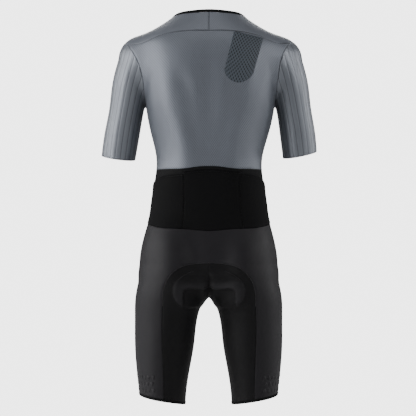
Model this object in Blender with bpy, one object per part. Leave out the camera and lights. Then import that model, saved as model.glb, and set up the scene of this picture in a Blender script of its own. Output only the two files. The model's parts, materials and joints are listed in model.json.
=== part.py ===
"""Roadsuit: a one-piece cycling suit with short ribbed sleeves and long legs, filled out as if worn.

The wearer's back faces -Y and the head is up (+Z). The origin lies between the shoulders.
Every cloth piece is a thin wall whose outer points lie on one smooth figure, so that neighbours
meet along shared seams.
"""
import math

import bmesh
import bpy
import numpy as np

# Driving dimensions, in metres.
CLOTH = 0.0012  # wall thickness of the panels
SEAM_GAP = 0.0003  # between pieces that are sewn together
LAYER_GAP = 0.0004  # between a panel and a piece that lies on it
RIB_HEIGHT = 0.0009
RIBS = 22  # round each sleeve
RIB_STEPS = 2  # valley and crest
ZIP_OPENING = 0.0045  # from the middle of the zip to each front edge
BINDING = 0.0060  # height of the neck binding
HEM_BAND = 0.0045  # height of the leg hem bindings
PAD_RELIEF = 0.0040  # how far the seat pad pushes the cloth out

# The figure: level sections through the body, one row each, heights from the shoulder line.
# x is the middle of the section, wide its half width, back and front its two ends along y.
TRUNK = {
    "columns": ("height", "x", "wide", "back", "front"),
    "rows": (
        (-0.640, 0.0, 0.1450, -0.105, 0.090),
        (-0.560, 0.0, 0.1600, -0.116, 0.098),
        (-0.490, 0.0, 0.1530, -0.112, 0.103),
        (-0.420, 0.0, 0.1452, -0.098, 0.105),
        (-0.350, 0.0, 0.1360, -0.086, 0.104),
        (-0.290, 0.0, 0.1300, -0.083, 0.107),
        (-0.220, 0.0, 0.1455, -0.092, 0.115),
        (-0.150, 0.0, 0.1590, -0.106, 0.121),
        (-0.080, 0.0, 0.1660, -0.114, 0.116),
        (-0.020, 0.0, 0.1750, -0.108, 0.098),
        (0.015, 0.0, 0.1650, -0.097, 0.084),
        (0.040, 0.0, 0.1265, -0.084, 0.072),
        (0.065, 0.0, 0.0900, -0.068, 0.062),
        (0.090, 0.0, 0.0670, -0.055, 0.058),
        (0.120, 0.0, 0.0600, -0.052, 0.060),
    ),
    "power": 2.35, "low": -0.560, "low_cap": 0.060, "high": 0.120, "high_cap": 0.050,
}
ARM = {
    "columns": ("height", "x", "wide", "back", "front"),
    "rows": (
        (-0.340, 0.2330, 0.0410, 0.000, 0.088),
        (-0.286, 0.2262, 0.0422, -0.009, 0.083),
        (-0.217, 0.2168, 0.0436, -0.021, 0.075),
        (-0.158, 0.2060, 0.0432, -0.033, 0.067),
        (-0.100, 0.1935, 0.0480, -0.046, 0.058),
        (-0.040, 0.1765, 0.0495, -0.052, 0.052),
        (0.000, 0.1650, 0.0470, -0.050, 0.050),
    ),
    "power": 2.0, "low": -0.340, "low_cap": 0.040, "high": -0.040, "high_cap": 0.054,
}
LEG = {
    "columns": ("height", "x", "wide", "back", "front"),
    "rows": (
        (-0.920, 0.1130, 0.0560, -0.078, 0.052),
        (-0.868, 0.1128, 0.0572, -0.080, 0.056),
        (-0.800, 0.1117, 0.0655, -0.086, 0.068),
        (-0.735, 0.1082, 0.0732, -0.094, 0.078),
        (-0.675, 0.1045, 0.0770, -0.102, 0.084),
        (-0.620, 0.0965, 0.0830, -0.114, 0.088),
        (-0.560, 0.0880, 0.0785, -0.120, 0.088),
        (-0.480, 0.0800, 0.0750, -0.110, 0.085),
    ),
    "power": 2.1, "low": -0.920, "low_cap": 0.050, "high": -0.540, "high_cap": 0.120,
}

# Seams round the body: angle from the middle of the back in degrees, height.
NECKLINE = ((0, 0.0730), (41, 0.0705), (70, 0.0675), (90, 0.0625), (115, 0.0470), (145, 0.0210),
            (165, 0.0080), (180, 0.0040))
WAIST_SEAM = ((0, -0.3036), (20, -0.3050), (38, -0.3092), (60, -0.3097), (92, -0.3125),
              (135, -0.3190), (180, -0.3250))
POCKET_FOOT = ((0, -0.4591), (17, -0.4567), (33, -0.4540), (49, -0.4526), (70, -0.4457),
               (92, -0.4400))
SIDE_ANGLES = {"waist": 93.0, "hip": 92.0}

# Seams seen from behind: distance from the middle, height.
YOKE_SEAM = ((0.0000, 0.0262), (0.0592, 0.0250), (0.1000, 0.0195), (0.1315, 0.0098),
             (0.1580, -0.0010))
SEAT_ARCH = ((0.0000, -0.5363), (0.0264, -0.5377), (0.0516, -0.5410), (0.0719, -0.5481),
             (0.0911, -0.5625), (0.1035, -0.5819), (0.1108, -0.6060), (0.1120, -0.6400),
             (0.1135, -0.7106), (0.1110, -0.7910), (0.1095, -0.8700))
ARCH_CORNER = 4  # row of SEAT_ARCH where the arch turns down the leg
ARCH_CROTCH = 7  # row of SEAT_ARCH level with the crotch
# Front leg seam: angle round the leg from behind by way of the outside, height.
FRONT_LEG_SEAM = ((92, -0.4400), (118, -0.5000), (142, -0.5500), (158, -0.6050), (168, -0.6800),
                  (173, -0.7800), (174, -0.8700))

# Pocket seams, each side: distances from the middle. Mouths: shares of the lower back's height, from
# the pocket seam out to the side of the body; the centre pocket's mouth runs level with the upper one.
POCKET_SEAM = {-1: {"waist": 0.0616, "foot": 0.0650}, 1: {"waist": 0.0745, "foot": 0.0827}}
MOUTH_AT = (0.00, 0.45, 1.00)
MOUTH_UPPER = (0.045, 0.060, 0.120)
MOUTH_LOWER = (0.085, 0.108, 0.255)

# Sleeves: the ends of the armhole and the hem in the front view, and how far the armhole curves in.
ARMHOLE = {"top": (0.2080, -0.0060), "armpit": (0.1605, -0.1520)}
SLEEVE_HEM = {-1: {"outer": (0.2670, -0.2745), "inner": (0.1850, -0.2860)},
              1: {"outer": (0.2670, -0.2640), "inner": (0.1850, -0.2810)}}
SCOOP_BACK = {-1: {"depth": 0.0180, "skew": 0.75}, 1: {"depth": 0.0225, "skew": 0.50}}
SCOOP_FRONT = {"depth": 0.0220, "skew": 0.75}
VALLEY = {"start": 0.50, "full": 0.77}  # shares of the armhole's depth, from the shoulder down
SLEEVE_TILT = 0.13  # the hem's back edge hangs lower, because the arms lean forward
YOKE_RIB = 3  # the yoke seam meets the armhole this many ribs' points behind the shoulder point

# Leg hems.
LEG_HEM = {"height": -0.8730, "tilt": 0.0115}

# The perforated patch on the right shoulder blade, as corners seen from behind.
PATCH_TOP = ((0.0604, 0.0225), (0.1309, 0.0050))
PATCH_FOOT = ((0.0360, -0.0738), (0.1076, -0.0725))
PATCH_ROUND = 0.0290  # how far the rounded end hangs below its corners
PATCH_CLOTH = 0.0010
PATCH_LIFT = 0.0005

# Zip, counted from the cloth's outer face inward.
TAPE = {"edge": 0.0120, "top": -0.00175, "foot": -0.0026, "teeth": 0.0021, "crown": -0.0004}
SLIDER = {"height": -0.012, "long": 0.0090, "wide": 0.0070, "plate": 0.0010, "lift": 0.0003, "neck": 0.0024}
PULL = {"long": 0.0200, "wide": 0.0050, "thick": 0.0010, "eye": 0.0030, "bar": 0.0010}

# Rows and columns of the cloth grids.
BACK_INNER, BACK_OUTER = 3, 5  # columns from the middle to the pocket seam, and on to the side
HALF = BACK_INNER + BACK_OUTER
POCKET_ROWS = 5
MOUTH_ROWS = 2  # rows above the side pockets' mouths
ZIP_ROWS, NECK_ROWS = 17, 11
SEAT_ROWS, ARCH_COLUMNS, INSERT_ROWS, LEG_ROWS, CROTCH_COLUMNS = 4, 6, 5, 9, 3
SLEEVE_SHARES = (0.00, 0.05, 0.14, 0.25, 0.37, 0.49, 0.61, 0.74, 0.87, 1.00)  # rings along each sleeve
RIB_FADE = 0.05  # share of the sleeve over which the ribs rise from the armhole

BELLY_ROWS = MOUTH_ROWS + POCKET_ROWS + SEAT_ROWS + ARCH_COLUMNS + INSERT_ROWS
SIDE_SHARES = (0.00, 0.04, 0.12, 0.26, 0.44, 0.62, 0.81, 1.00)  # closer below the armpit

FAN_TOP, FAN_FOOT = -0.10, -0.50  # rays fan out above and below these heights of the trunk's axis
FAN_RADIUS = {"top": 0.20, "foot": 0.10}
LEG_AXIS_Y = -0.012


# ---------------------------------------------------------------- curves and the figure

def smooth(knots, values):
    """Natural cubic spline through the values, as a function."""
    knots, values = np.array(knots, float), np.array(values, float)
    gap = np.diff(knots)
    slope = (np.diff(values, axis=0).T / gap).T
    size = len(knots)
    matrix = np.eye(size)
    right = np.zeros_like(values)
    for i in range(1, size - 1):
        matrix[i, i - 1:i + 2] = gap[i - 1], 2 * (gap[i - 1] + gap[i]), gap[i]
        right[i] = 6 * (slope[i] - slope[i - 1])
    bend = np.linalg.solve(matrix, right)

    def at(x):
        x = np.clip(x, knots[0], knots[-1])
        i = np.clip(np.searchsorted(knots, x) - 1, 0, size - 2)
        h = gap[i]
        a = (knots[i + 1] - x) / h
        b = 1 - a
        if values.ndim > 1:
            a, b, h = a[..., None], b[..., None], h[..., None]
        return (a * values[i] + b * values[i + 1]
                + ((a ** 3 - a) * bend[i] + (b ** 3 - b) * bend[i + 1]) * h * h / 6)
    return at


def ramp(x, start, end):
    """Smooth step from 0 at start to 1 at end."""
    t = np.clip((x - start) / (end - start), 0, 1)
    return t * t * (3 - 2 * t)


def form_of(table):
    """The table's columns as smooth functions of the height."""
    rows = np.array(table["rows"])
    rows = rows[np.argsort(rows[:, 0])]
    return {name: smooth(rows[:, 0], rows[:, i]) for i, name in enumerate(table["columns"]) if i}


FORM = {"trunk": form_of(TRUNK), "arm": form_of(ARM), "leg": form_of(LEG)}


def limb_distance(p, table, form, side=0):
    """Distance outside a stack of rounded sections that closes in a dome at each end."""
    height = np.clip(p[..., 2], table["low"], table["high"])
    cap = np.where(p[..., 2] > height, table["high_cap"], table["low_cap"])
    back, front = form["back"](height), form["front"](height)
    dx = p[..., 0] - side * form["x"](height)
    dy = p[..., 1] - (back + front) / 2
    dz = p[..., 2] - height
    power = table["power"]
    level = np.abs(dx / form["wide"](height)) ** power + np.abs(2 * dy / (front - back)) ** power
    ratio = np.sqrt(level ** (2 / power) + (dz / cap) ** 2) + 1e-9
    return (ratio - 1) * np.sqrt(dx * dx + dy * dy + dz * dz) / ratio


def blend(a, b, reach):
    """Smaller of two distances, with the corner rounded off over reach."""
    overlap = np.maximum(reach - np.abs(a - b), 0) / reach
    return np.minimum(a, b) - overlap * overlap * reach / 4


def lean(height):
    """The suit hangs very slightly to one side."""
    chest = 0.0030 * ramp(height, -0.34, -0.16) * (1 - ramp(height, -0.02, 0.03))
    return chest - 0.0010 * (1 - ramp(height, -0.50, -0.40))


def figure(points):
    """Distance outside the figure, negative inside."""
    p = np.array(points, float)
    height = p[..., 2]
    p[..., 0] -= lean(height)
    body = limb_distance(p, TRUNK, FORM["trunk"])
    p[..., 0] = np.abs(p[..., 0])
    body = blend(body, limb_distance(p, ARM, FORM["arm"], 1), 0.008 + 0.032 * ramp(height, -0.15, -0.07))
    near, far = limb_distance(p, LEG, FORM["leg"], 1), limb_distance(p, LEG, FORM["leg"], -1)
    return blend(body, blend(near, far, 0.030), 0.030 + 0.005 * ramp(height, -0.62, -0.55))


def meeting(points):
    """Positive nearer the arm, negative nearer the trunk."""
    p = np.array(points, float)
    p[..., 0] -= lean(p[..., 2])
    trunk = limb_distance(p, TRUNK, FORM["trunk"])
    p[..., 0] = np.abs(p[..., 0])
    return trunk - limb_distance(p, ARM, FORM["arm"], 1)


def normals_at(points, reach=0.0005):
    """Outward unit normals of the figure."""
    points = np.asarray(points, float)
    slope = np.zeros_like(points)
    for axis in range(3):
        shift = np.zeros(3)
        shift[axis] = reach
        slope[..., axis] = figure(points + shift) - figure(points - shift)
    return slope / np.linalg.norm(slope, axis=-1, keepdims=True)


def settle(points, rounds=4):
    """Moves points that lie close to the figure onto it, straight along its normals."""
    for _ in range(rounds):
        slope = np.zeros_like(points)
        for axis in range(3):
            shift = np.zeros(3)
            shift[axis] = 0.0002
            slope[..., axis] = (figure(points + shift) - figure(points - shift)) / 0.0004
        size = np.sum(slope * slope, axis=-1)
        points = points - slope * (figure(points) / np.maximum(size, 0.05))[..., None]
    return points


def cast(origin, direction, inward=False):
    """Where rays leave the figure, or reach it when they come from outside."""
    direction = direction / np.linalg.norm(direction, axis=-1, keepdims=True)
    travel = np.zeros(direction.shape[:-1])
    sign = 0.8 if inward else -0.8
    for _ in range(60):
        travel = travel + sign * figure(origin + direction * travel[..., None])
    return settle(origin + direction * travel[..., None])


# ---------------------------------------------------------------- charts: places on the figure

def turned(angle, height):
    """Level direction at an angle from the middle of the back; height is its rise."""
    flat = np.cos(height)
    return np.stack([np.sin(angle) * flat, -np.cos(angle) * flat, np.sin(height)], -1)


def trunk_chart(places):
    """Points on the trunk from places (angle in radians, height along the axis)."""
    angle, height = places[..., 0], places[..., 1]
    rise = np.where(height > FAN_TOP, (height - FAN_TOP) / FAN_RADIUS["top"],
                    np.where(height < FAN_FOOT, (height - FAN_FOOT) / FAN_RADIUS["foot"], 0.0))
    origin = np.zeros(places.shape[:-1] + (3,))
    origin[..., 2] = np.clip(height, FAN_FOOT, FAN_TOP)
    return cast(origin, turned(angle, rise))


def trunk_place(points, side=0):
    """Inverse of trunk_chart. With a side, angles run on past the middle of the front from that side."""
    angle = np.arctan2(points[..., 0], -points[..., 1])
    angle = np.where(side * angle < -math.pi / 2, angle + 2 * math.pi * side, angle)
    z, reach = points[..., 2], np.hypot(points[..., 0], points[..., 1])
    above = FAN_TOP + FAN_RADIUS["top"] * np.arctan2(z - FAN_TOP, reach)
    below = FAN_FOOT + FAN_RADIUS["foot"] * np.arctan2(z - FAN_FOOT, reach)
    return np.stack([angle, np.where(z > FAN_TOP, above, np.where(z < FAN_FOOT, below, z))], -1)


def leg_axis(height, side):
    share = 1 - ramp(height, -0.58, -0.46)
    x = side * FORM["leg"]["x"](height) * share
    return np.stack([x, np.full_like(x, LEG_AXIS_Y), height], -1)


def leg_chart(side):
    """Points on one leg from places (angle from behind by way of the outside, height)."""
    def chart(places):
        angle, height = places[..., 0] * side, places[..., 1]
        return cast(leg_axis(height, side), turned(angle, np.zeros_like(height)))
    return chart


def leg_place(side, inside=False):
    """Inverse of leg_chart; inside counts the angles by way of the inner thigh, as negative."""
    def place(points):
        from_axis = points - leg_axis(points[..., 2], side)
        angle = np.arctan2(from_axis[..., 0] * side, -from_axis[..., 1])
        if inside:
            angle = np.where(angle > math.pi / 2, angle - 2 * math.pi, angle)
        else:
            angle = np.where(angle < -math.pi / 2, angle + 2 * math.pi, angle)
        return np.stack([angle, points[..., 2]], -1)
    return place


def from_behind(x, height):
    """Points on the back of the figure."""
    x, height = np.broadcast_arrays(np.asarray(x, float), np.asarray(height, float))
    origin = np.stack([x, np.full_like(x, -0.25), height], -1)
    return cast(origin, np.broadcast_to([0.0, 1.0, 0.0], origin.shape), inward=True)


def from_front(x, height):
    """Points on the front of the figure."""
    x, height = np.broadcast_arrays(np.asarray(x, float), np.asarray(height, float))
    origin = np.stack([x, np.full_like(x, 0.25), height], -1)
    return cast(origin, np.broadcast_to([0.0, -1.0, 0.0], origin.shape), inward=True)


def level_ring(angles, heights):
    """Points at given angles from the middle of the back, at their own heights."""
    origin = np.zeros(np.shape(angles) + (3,))
    origin[..., 2] = heights
    return cast(origin, turned(np.asarray(angles), np.zeros_like(angles)))


# ---------------------------------------------------------------- seams

def along(points, count):
    """Points spaced evenly on the smooth curve through a short list."""
    points = np.asarray(points, float)
    length = np.concatenate([[0], np.cumsum(np.linalg.norm(np.diff(points, axis=0), axis=1))])
    curve = smooth(length, points)
    fine = curve(np.linspace(0, length[-1], 400))
    run = np.concatenate([[0], np.cumsum(np.linalg.norm(np.diff(fine, axis=0), axis=1))])
    want = np.linspace(0, run[-1], count + 1)
    return np.stack([np.interp(want, run, fine[:, i]) for i in range(fine.shape[1])], -1)


def seam_height(table, angles):
    rows = np.array(table, float)
    mirrored = np.concatenate([[[-rows[1, 0], rows[1, 1]]], rows])  # level at the middle of the back
    return smooth(np.radians(mirrored[:, 0]), mirrored[:, 1])(np.abs(angles))


def ring_seam(table, angles):
    return level_ring(angles, seam_height(table, angles))


def sleeve_frame(side, share):
    """Middle, outward, backward and lengthwise directions of the sleeve's ring at a share of its length."""
    hem = SLEEVE_HEM[side]
    ends = []
    for start, end, sign in ((ARMHOLE["top"], hem["outer"], 1), (ARMHOLE["armpit"], hem["inner"], -1)):
        height = start[1] + (end[1] - start[1]) * share
        middle, wide = float(FORM["arm"]["x"](height)), float(FORM["arm"]["wide"](height))
        if height > ARM["high"]:
            wide *= math.sqrt(max(1 - ((height - ARM["high"]) / ARM["high_cap"]) ** 2, 0.05))
        reach = start[0] * (1 - ramp(share, 0, 0.3)) + (middle + sign * wide) * ramp(share, 0, 0.3)
        ends.append(np.array([side * reach, 0.0, height]))
    outer, inner = ends
    centre = (outer + inner) / 2
    centre[0] += lean(centre[2])
    centre[1] = float(FORM["arm"]["back"](centre[2]) + FORM["arm"]["front"](centre[2])) / 2
    out = (outer - inner) / np.linalg.norm(outer - inner)
    back = np.array([0.0, -1.0, -SLEEVE_TILT * share])
    back -= out * back.dot(out)
    back /= np.linalg.norm(back)
    down = np.cross(out, back) * side
    return centre, out, back, down


def sleeve_ring(side, share, columns):
    """One ring of the sleeve: from the outer side round by the back, the armpit and the front."""
    centre, out, back, down = sleeve_frame(side, share)
    turn = np.arange(columns) * 2 * math.pi / columns
    depth = (1 - np.cos(turn)) / 2  # 0 at the shoulder point, 1 at the armpit
    behind = np.sin(turn) > 0
    scoop = np.where(behind, SCOOP_BACK[side]["depth"] * np.sin(math.pi * depth ** SCOOP_BACK[side]["skew"]),
                     SCOOP_FRONT["depth"] * np.sin(math.pi * depth ** SCOOP_FRONT["skew"]))
    origin = centre - down * (scoop * (1 - share) ** 2)[:, None]
    direction = np.cos(turn)[:, None] * out + np.sin(turn)[:, None] * back
    return cast(origin, direction)


def armhole_ring(side):
    """The armhole: its lower part follows the valley between arm and trunk, moved level or upright."""
    ring = sleeve_ring(side, 0.0, RING)
    low = ramp((1 - np.cos(np.arange(RING) * 2 * math.pi / RING)) / 2, VALLEY["start"], VALLEY["full"])
    near = low > 0
    points = ring[near]
    for _ in range(25):
        miss = np.stack([figure(points), meeting(points)], -1)
        slopes = []
        for shift in ((0.0002, 0.0, 0.0), (0.0, 0.0, 0.0002)):
            ahead, behind = points + shift, points - shift
            slopes.append(np.stack([figure(ahead) - figure(behind), meeting(ahead) - meeting(behind)], -1))
        step = -np.linalg.solve(np.stack(slopes, -1) / 0.0004, miss[..., None])[..., 0]
        step *= np.minimum(1, 0.003 / (np.linalg.norm(step, axis=-1, keepdims=True) + 1e-12))
        points = points + np.stack([step[:, 0], np.zeros(len(step)), step[:, 1]], -1)
    ring[near] = settle(ring[near] + (points - ring[near]) * low[near, None])
    return ring


SIDES = {-1: "left", 1: "right"}
RING = RIBS * RIB_STEPS
ARMPIT = RING // 2


def side_line(start, end, shares, side):
    """The side seam between two of its points, at given shares of the way."""
    first, last = trunk_place(start, side), trunk_place(end, side)
    line = trunk_chart(first + (last - first) * np.asarray(shares)[:, None])
    line[0], line[-1] = start, end
    return line


def mouth_shares():
    """Rows of the lower back as shares of its height, for each column from the left side to the right."""
    beside = np.abs(np.arange(-HALF, HALF + 1)) - BACK_INNER
    out = np.clip(beside / BACK_OUTER, 0, 1)
    upper, lower = smooth(MOUTH_AT, MOUTH_UPPER)(out), smooth(MOUTH_AT, MOUTH_LOWER)(out)
    below = np.linspace(0, 1, POCKET_ROWS + 1)[:, None]
    return np.concatenate([[np.zeros(len(out)), upper], lower + (1 - lower) * below])


def seams():
    """Every shared seam as points on the figure, for both sides."""
    found = {}
    for side in SIDES:
        armhole = armhole_ring(side)
        found["armhole", side] = armhole
        joint = armhole[YOKE_RIB]
        yoke = [(side * x, z) for x, z in YOKE_SEAM] + [(joint[0], joint[2])]
        flat = along(yoke, HALF)
        found["yoke", side] = np.concatenate([from_behind(flat[:-1, 0], flat[:-1, 1]), [joint]])

        armpit = armhole[ARMPIT]
        waist_side = ring_seam(WAIST_SEAM, np.radians([SIDE_ANGLES["waist"] * side]))[0]
        hip = ring_seam(POCKET_FOOT, np.radians([SIDE_ANGLES["hip"] * side]))[0]
        found["chest side", side] = side_line(armpit, waist_side, SIDE_SHARES, side)
        found["hip side", side] = side_line(waist_side, hip, mouth_shares()[:, 0], side)

        for name, table, last in (("waist", WAIST_SEAM, waist_side), ("foot", POCKET_FOOT, hip)):
            near = from_behind(POCKET_SEAM[side][name] * side, table[2][1])
            seam_angle = trunk_place(near, side)[0]
            end_angle = trunk_place(last, side)[0]
            angles = np.concatenate([np.linspace(0, seam_angle, BACK_INNER + 1),
                                     np.linspace(seam_angle, end_angle, BACK_OUTER + 1)[1:]])
            row = ring_seam(table, angles)
            row[-1] = last
            found[name, side] = row
        front_angles = np.linspace(trunk_place(waist_side, side)[0], side * math.pi, HALF + 1)
        front = ring_seam(WAIST_SEAM, front_angles)
        front[0] = waist_side
        found["front waist", side] = front
    return found


def evenly(points, count):
    """Evenly spaced points along a finely sampled line on the figure."""
    run = np.concatenate([[0], np.cumsum(np.linalg.norm(np.diff(points, axis=0), axis=1))])
    want = np.linspace(0, run[-1], count + 1)
    picked = settle(np.stack([np.interp(want, run, points[:, i]) for i in range(3)], -1))
    picked[0], picked[-1] = points[0], points[-1]
    return picked


def joined(*lines):
    """One line from several that meet end to end."""
    return np.concatenate([lines[0]] + [line[1:] for line in lines[1:]])


def mid_line(start, end, count=120):
    """Line on the middle plane of the seat, between two angles below the level backward direction."""
    angle = np.linspace(start, end, count)
    origin = np.zeros((count, 3))
    origin[:, 2] = FAN_FOOT
    return cast(origin, np.stack([np.zeros(count), -np.cos(angle), -np.sin(angle)], -1))


def leg_seams(found):
    """Adds the seams of the shorts to the others."""
    crotch_back, crotch_front = math.radians(65), math.radians(115)
    arch_top = from_behind(0.0, SEAT_ARCH[0][1])
    start = math.atan2(FAN_FOOT - arch_top[2], -arch_top[1])
    found["seat middle"] = evenly(mid_line(start, crotch_back), INSERT_ROWS)
    found["crotch"] = evenly(mid_line(crotch_back, crotch_front), CROTCH_COLUMNS)
    rising = mid_line(crotch_front, math.pi)
    level = from_front(np.zeros(60), np.linspace(rising[-1, 2], WAIST_SEAM[-1][1], 60))
    found["belly middle"] = evenly(joined(rising, level)[::-1], BELLY_ROWS)
    heights = np.linspace(POCKET_FOOT[0][1], SEAT_ARCH[0][1], SEAT_ROWS + 1)
    found["seat fold"] = from_behind(np.zeros_like(heights), heights)
    for side in SIDES:
        chart = leg_chart(side)
        hem_x, hem_z = SEAT_ARCH[-1]
        back_angle = leg_place(side)(from_behind(side * hem_x, hem_z))[0]
        front_angle = math.radians(FRONT_LEG_SEAM[-1][0])
        outer = np.linspace(back_angle, front_angle, HALF + 1)
        inner = np.linspace(front_angle - 2 * math.pi, back_angle, HALF + CROTCH_COLUMNS + ARCH_COLUMNS + 1)
        for name, angles in (("outer", outer), ("inner", inner)):
            for edge, rise in (("hem", HEM_BAND), ("end", 0.0)):
                level = LEG_HEM["height"] + LEG_HEM["tilt"] * np.sin(angles) + rise
                found[edge, name, side] = chart(np.stack([angles, level], -1))
        for edge in ("hem", "end"):
            found[edge, "inner", side][0] = found[edge, "outer", side][-1]
            found[edge, "inner", side][-1] = found[edge, "outer", side][0]
        hem_back, hem_front = found["hem", "outer", side][0], found["hem", "outer", side][-1]

        arch = [(side * x, z) for x, z in SEAT_ARCH[:-1]] + [(hem_back[0], hem_back[2])]
        for name, rows, count in (("arch", arch[:ARCH_CORNER + 1], ARCH_COLUMNS),
                                  ("insert", arch[ARCH_CORNER:ARCH_CROTCH + 1], INSERT_ROWS),
                                  ("back leg", arch[ARCH_CROTCH:], LEG_ROWS)):
            flat = along(rows, count)
            found[name, side] = from_behind(flat[:, 0], flat[:, 1])
        found["back leg", side][-1] = hem_back

        route = smooth(range(len(FRONT_LEG_SEAM)), [(math.radians(a), z) for a, z in FRONT_LEG_SEAM])
        upper = chart(route(np.linspace(0, 3, 80)))
        lower = chart(route(np.linspace(3, len(FRONT_LEG_SEAM) - 1, 80)))
        upper[0], lower[0], lower[-1] = found["foot", side][-1], upper[-1], hem_front
        found["front hip", side] = evenly(upper, SEAT_ROWS + ARCH_COLUMNS + INSERT_ROWS)
        found["front leg", side] = evenly(lower, LEG_ROWS)

        for name, start_at, end_at, count in (
                ("under seat", found["seat middle"][-1], found["insert", side][-1], ARCH_COLUMNS),
                ("under belly", found["front hip", side][-1], found["crotch"][-1], HALF)):
            places = np.linspace(trunk_place(start_at, side), trunk_place(end_at, side), 60)
            line = trunk_chart(places)
            line[0], line[-1] = start_at, end_at
            found[name, side] = evenly(line, count)
    return found


# ---------------------------------------------------------------- grids and walls

def coons(chart, place, top, foot, left, right):
    """Grid of points on the figure between four seams; rows run from top to foot."""
    columns, rows = len(top) - 1, len(left) - 1
    u = np.linspace(0, 1, columns + 1)[None, :, None]
    v = np.linspace(0, 1, rows + 1)[:, None, None]
    t, f, l, r = (place(np.asarray(edge)) for edge in (top, foot, left, right))
    places = ((1 - v) * t[None] + v * f[None] + (1 - u) * l[:, None] + u * r[:, None]
              - (1 - u) * (1 - v) * t[0] - u * (1 - v) * t[-1] - (1 - u) * v * f[0] - u * v * f[-1])
    grid = np.empty((rows + 1, columns + 1, 3))
    grid[1:-1, 1:-1] = chart(places[1:-1, 1:-1])
    grid[0], grid[-1], grid[:, 0], grid[:, -1] = top, foot, left, right
    return grid


def weld(grids, closed=False):
    """Joins grids that share edges into one sheet of points and triangles, cut on the short diagonals."""
    points, faces, known = [], [], {}

    def index(point):
        key = tuple(np.round(point * 1e5).astype(int))
        if key not in known:
            known[key] = len(points)
            points.append(point)
        return known[key]
    for grid, flip in grids:
        ids = np.array([[index(point) for point in row] for row in grid])
        if closed:
            ids = np.concatenate([ids, ids[:, :1]], axis=1)
        for i in range(ids.shape[0] - 1):
            for j in range(ids.shape[1] - 1):
                a, b, c, d = ids[i, j], ids[i + 1, j], ids[i + 1, j + 1], ids[i, j + 1]
                if np.linalg.norm(points[a] - points[c]) < np.linalg.norm(points[b] - points[d]):
                    pair = [a, b, c], [a, c, d]
                else:
                    pair = [a, b, d], [b, c, d]
                faces += [face[::-1] if flip else face for face in pair]
    return np.array(points), faces


def rim_of(faces):
    """Edges that belong to one face only, in that face's direction."""
    edges = {}
    for face in faces:
        for a, b in zip(face, face[1:] + face[:1]):
            edges[a, b] = True
    return [(a, b) for a, b in edges if (b, a) not in edges]


def inset(points, faces, normals, by):
    """Moves the rim of a sheet inward, within the cloth, so that it stays clear of its neighbours."""
    rim = rim_of(faces)
    pulls = {}
    for a, b in rim:
        edge = points[b] - points[a]
        for end in (a, b):
            inward = np.cross(normals[end], edge)
            pulls.setdefault(end, []).append(inward / np.linalg.norm(inward))
    moved = points.copy()
    for end, pull in pulls.items():
        total = np.sum(pull, axis=0)
        moved[end] += by * total / max(0.35, np.dot(total, total) / len(pull))
    return moved, rim


def material(name, colour, roughness, metallic=0.0):
    made = bpy.data.materials.new(name)
    made.use_nodes = True
    shader = made.node_tree.nodes["Principled BSDF"]
    shader.inputs["Base Color"].default_value = (*colour, 1.0)
    shader.inputs["Roughness"].default_value = roughness
    shader.inputs["Metallic"].default_value = metallic
    return made


def put(name, points, faces, surface, collection):
    """One named object from points and faces, with its own material."""
    sheet = bmesh.new()
    verts = [sheet.verts.new(point) for point in points]
    for face in faces:
        sheet.faces.new([verts[i] for i in face])
    mesh = bpy.data.meshes.new(name)
    sheet.to_mesh(mesh)
    sheet.free()
    mesh.shade_smooth()
    mesh.set_sharp_from_angle(angle=math.radians(35))
    mesh.materials.append(material(name, *surface))
    made = bpy.data.objects.new(name, mesh)
    collection.objects.link(made)
    return made


def cloth(name, sheet, surface, collection, thick=CLOTH, lift=0.0, raised=None):
    """A wall of cloth: outer points on the sheet, raised where it has relief, and a plain inside."""
    points, faces = sheet
    normals = normals_at(points)
    middle, rim = inset(points, faces, normals, SEAM_GAP / 2)
    relief = np.zeros(len(points)) if raised is None else raised(points)
    outer = middle + normals * (lift + relief)[:, None]
    inner = middle + normals * (lift - thick)
    count = len(points)
    walls = [list(face) for face in faces]
    walls += [[i + count for i in face[::-1]] for face in faces]
    walls += [[b, a, a + count, b + count] for a, b in rim]
    return put(name, np.concatenate([outer, inner]), walls, surface, collection)


# ---------------------------------------------------------------- the cloth pieces

def both(found, name):
    """A seam from the left side to the right through the middle."""
    return joined(found[name, -1][::-1], found[name, 1])


def back_grid(found):
    edges = {side: joined(found["armhole", side][YOKE_RIB:ARMPIT + 1], found["chest side", side])
             for side in SIDES}
    return coons(trunk_chart, trunk_place, both(found, "yoke"), both(found, "waist"), edges[-1], edges[1])


def front_grid(found, side):
    waist = found["front waist", side][::-1].copy()
    waist[0] = from_front(side * ZIP_OPENING, WAIST_SEAM[-1][1])
    heights = np.linspace(WAIST_SEAM[-1][1], NECKLINE[-1][1], ZIP_ROWS + 1)
    zip_edge = from_front(np.full_like(heights, side * ZIP_OPENING), heights)
    neckline = neck_ring(side)
    neckline[0] = zip_edge[-1]
    armhole = found["armhole", side]
    outer = joined(found["chest side", side][::-1],
                   np.concatenate([armhole[ARMPIT:], armhole[:YOKE_RIB + 1]]))
    rows = len(outer) - 1 - ZIP_ROWS - NECK_ROWS
    heights = np.linspace(NECKLINE[0][1], YOKE_SEAM[0][1], rows + 1)
    back_middle = from_behind(np.zeros_like(heights), heights)
    neckline[-1] = back_middle[0]
    inner = joined(zip_edge, neckline, back_middle)

    def place(points):
        return trunk_place(points, side)
    return coons(trunk_chart, place, waist, found["yoke", side], inner, outer)


def neck_ring(side, rise=0.0):
    """The neckline from the zip round to the middle of the back."""
    zip_angle = math.pi - math.asin(ZIP_OPENING / FORM["trunk"]["front"](NECKLINE[-1][1]))
    angles = np.linspace(zip_angle, 0, NECK_ROWS + 1) * side
    return level_ring(angles, seam_height(NECKLINE, angles) + rise)


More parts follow.
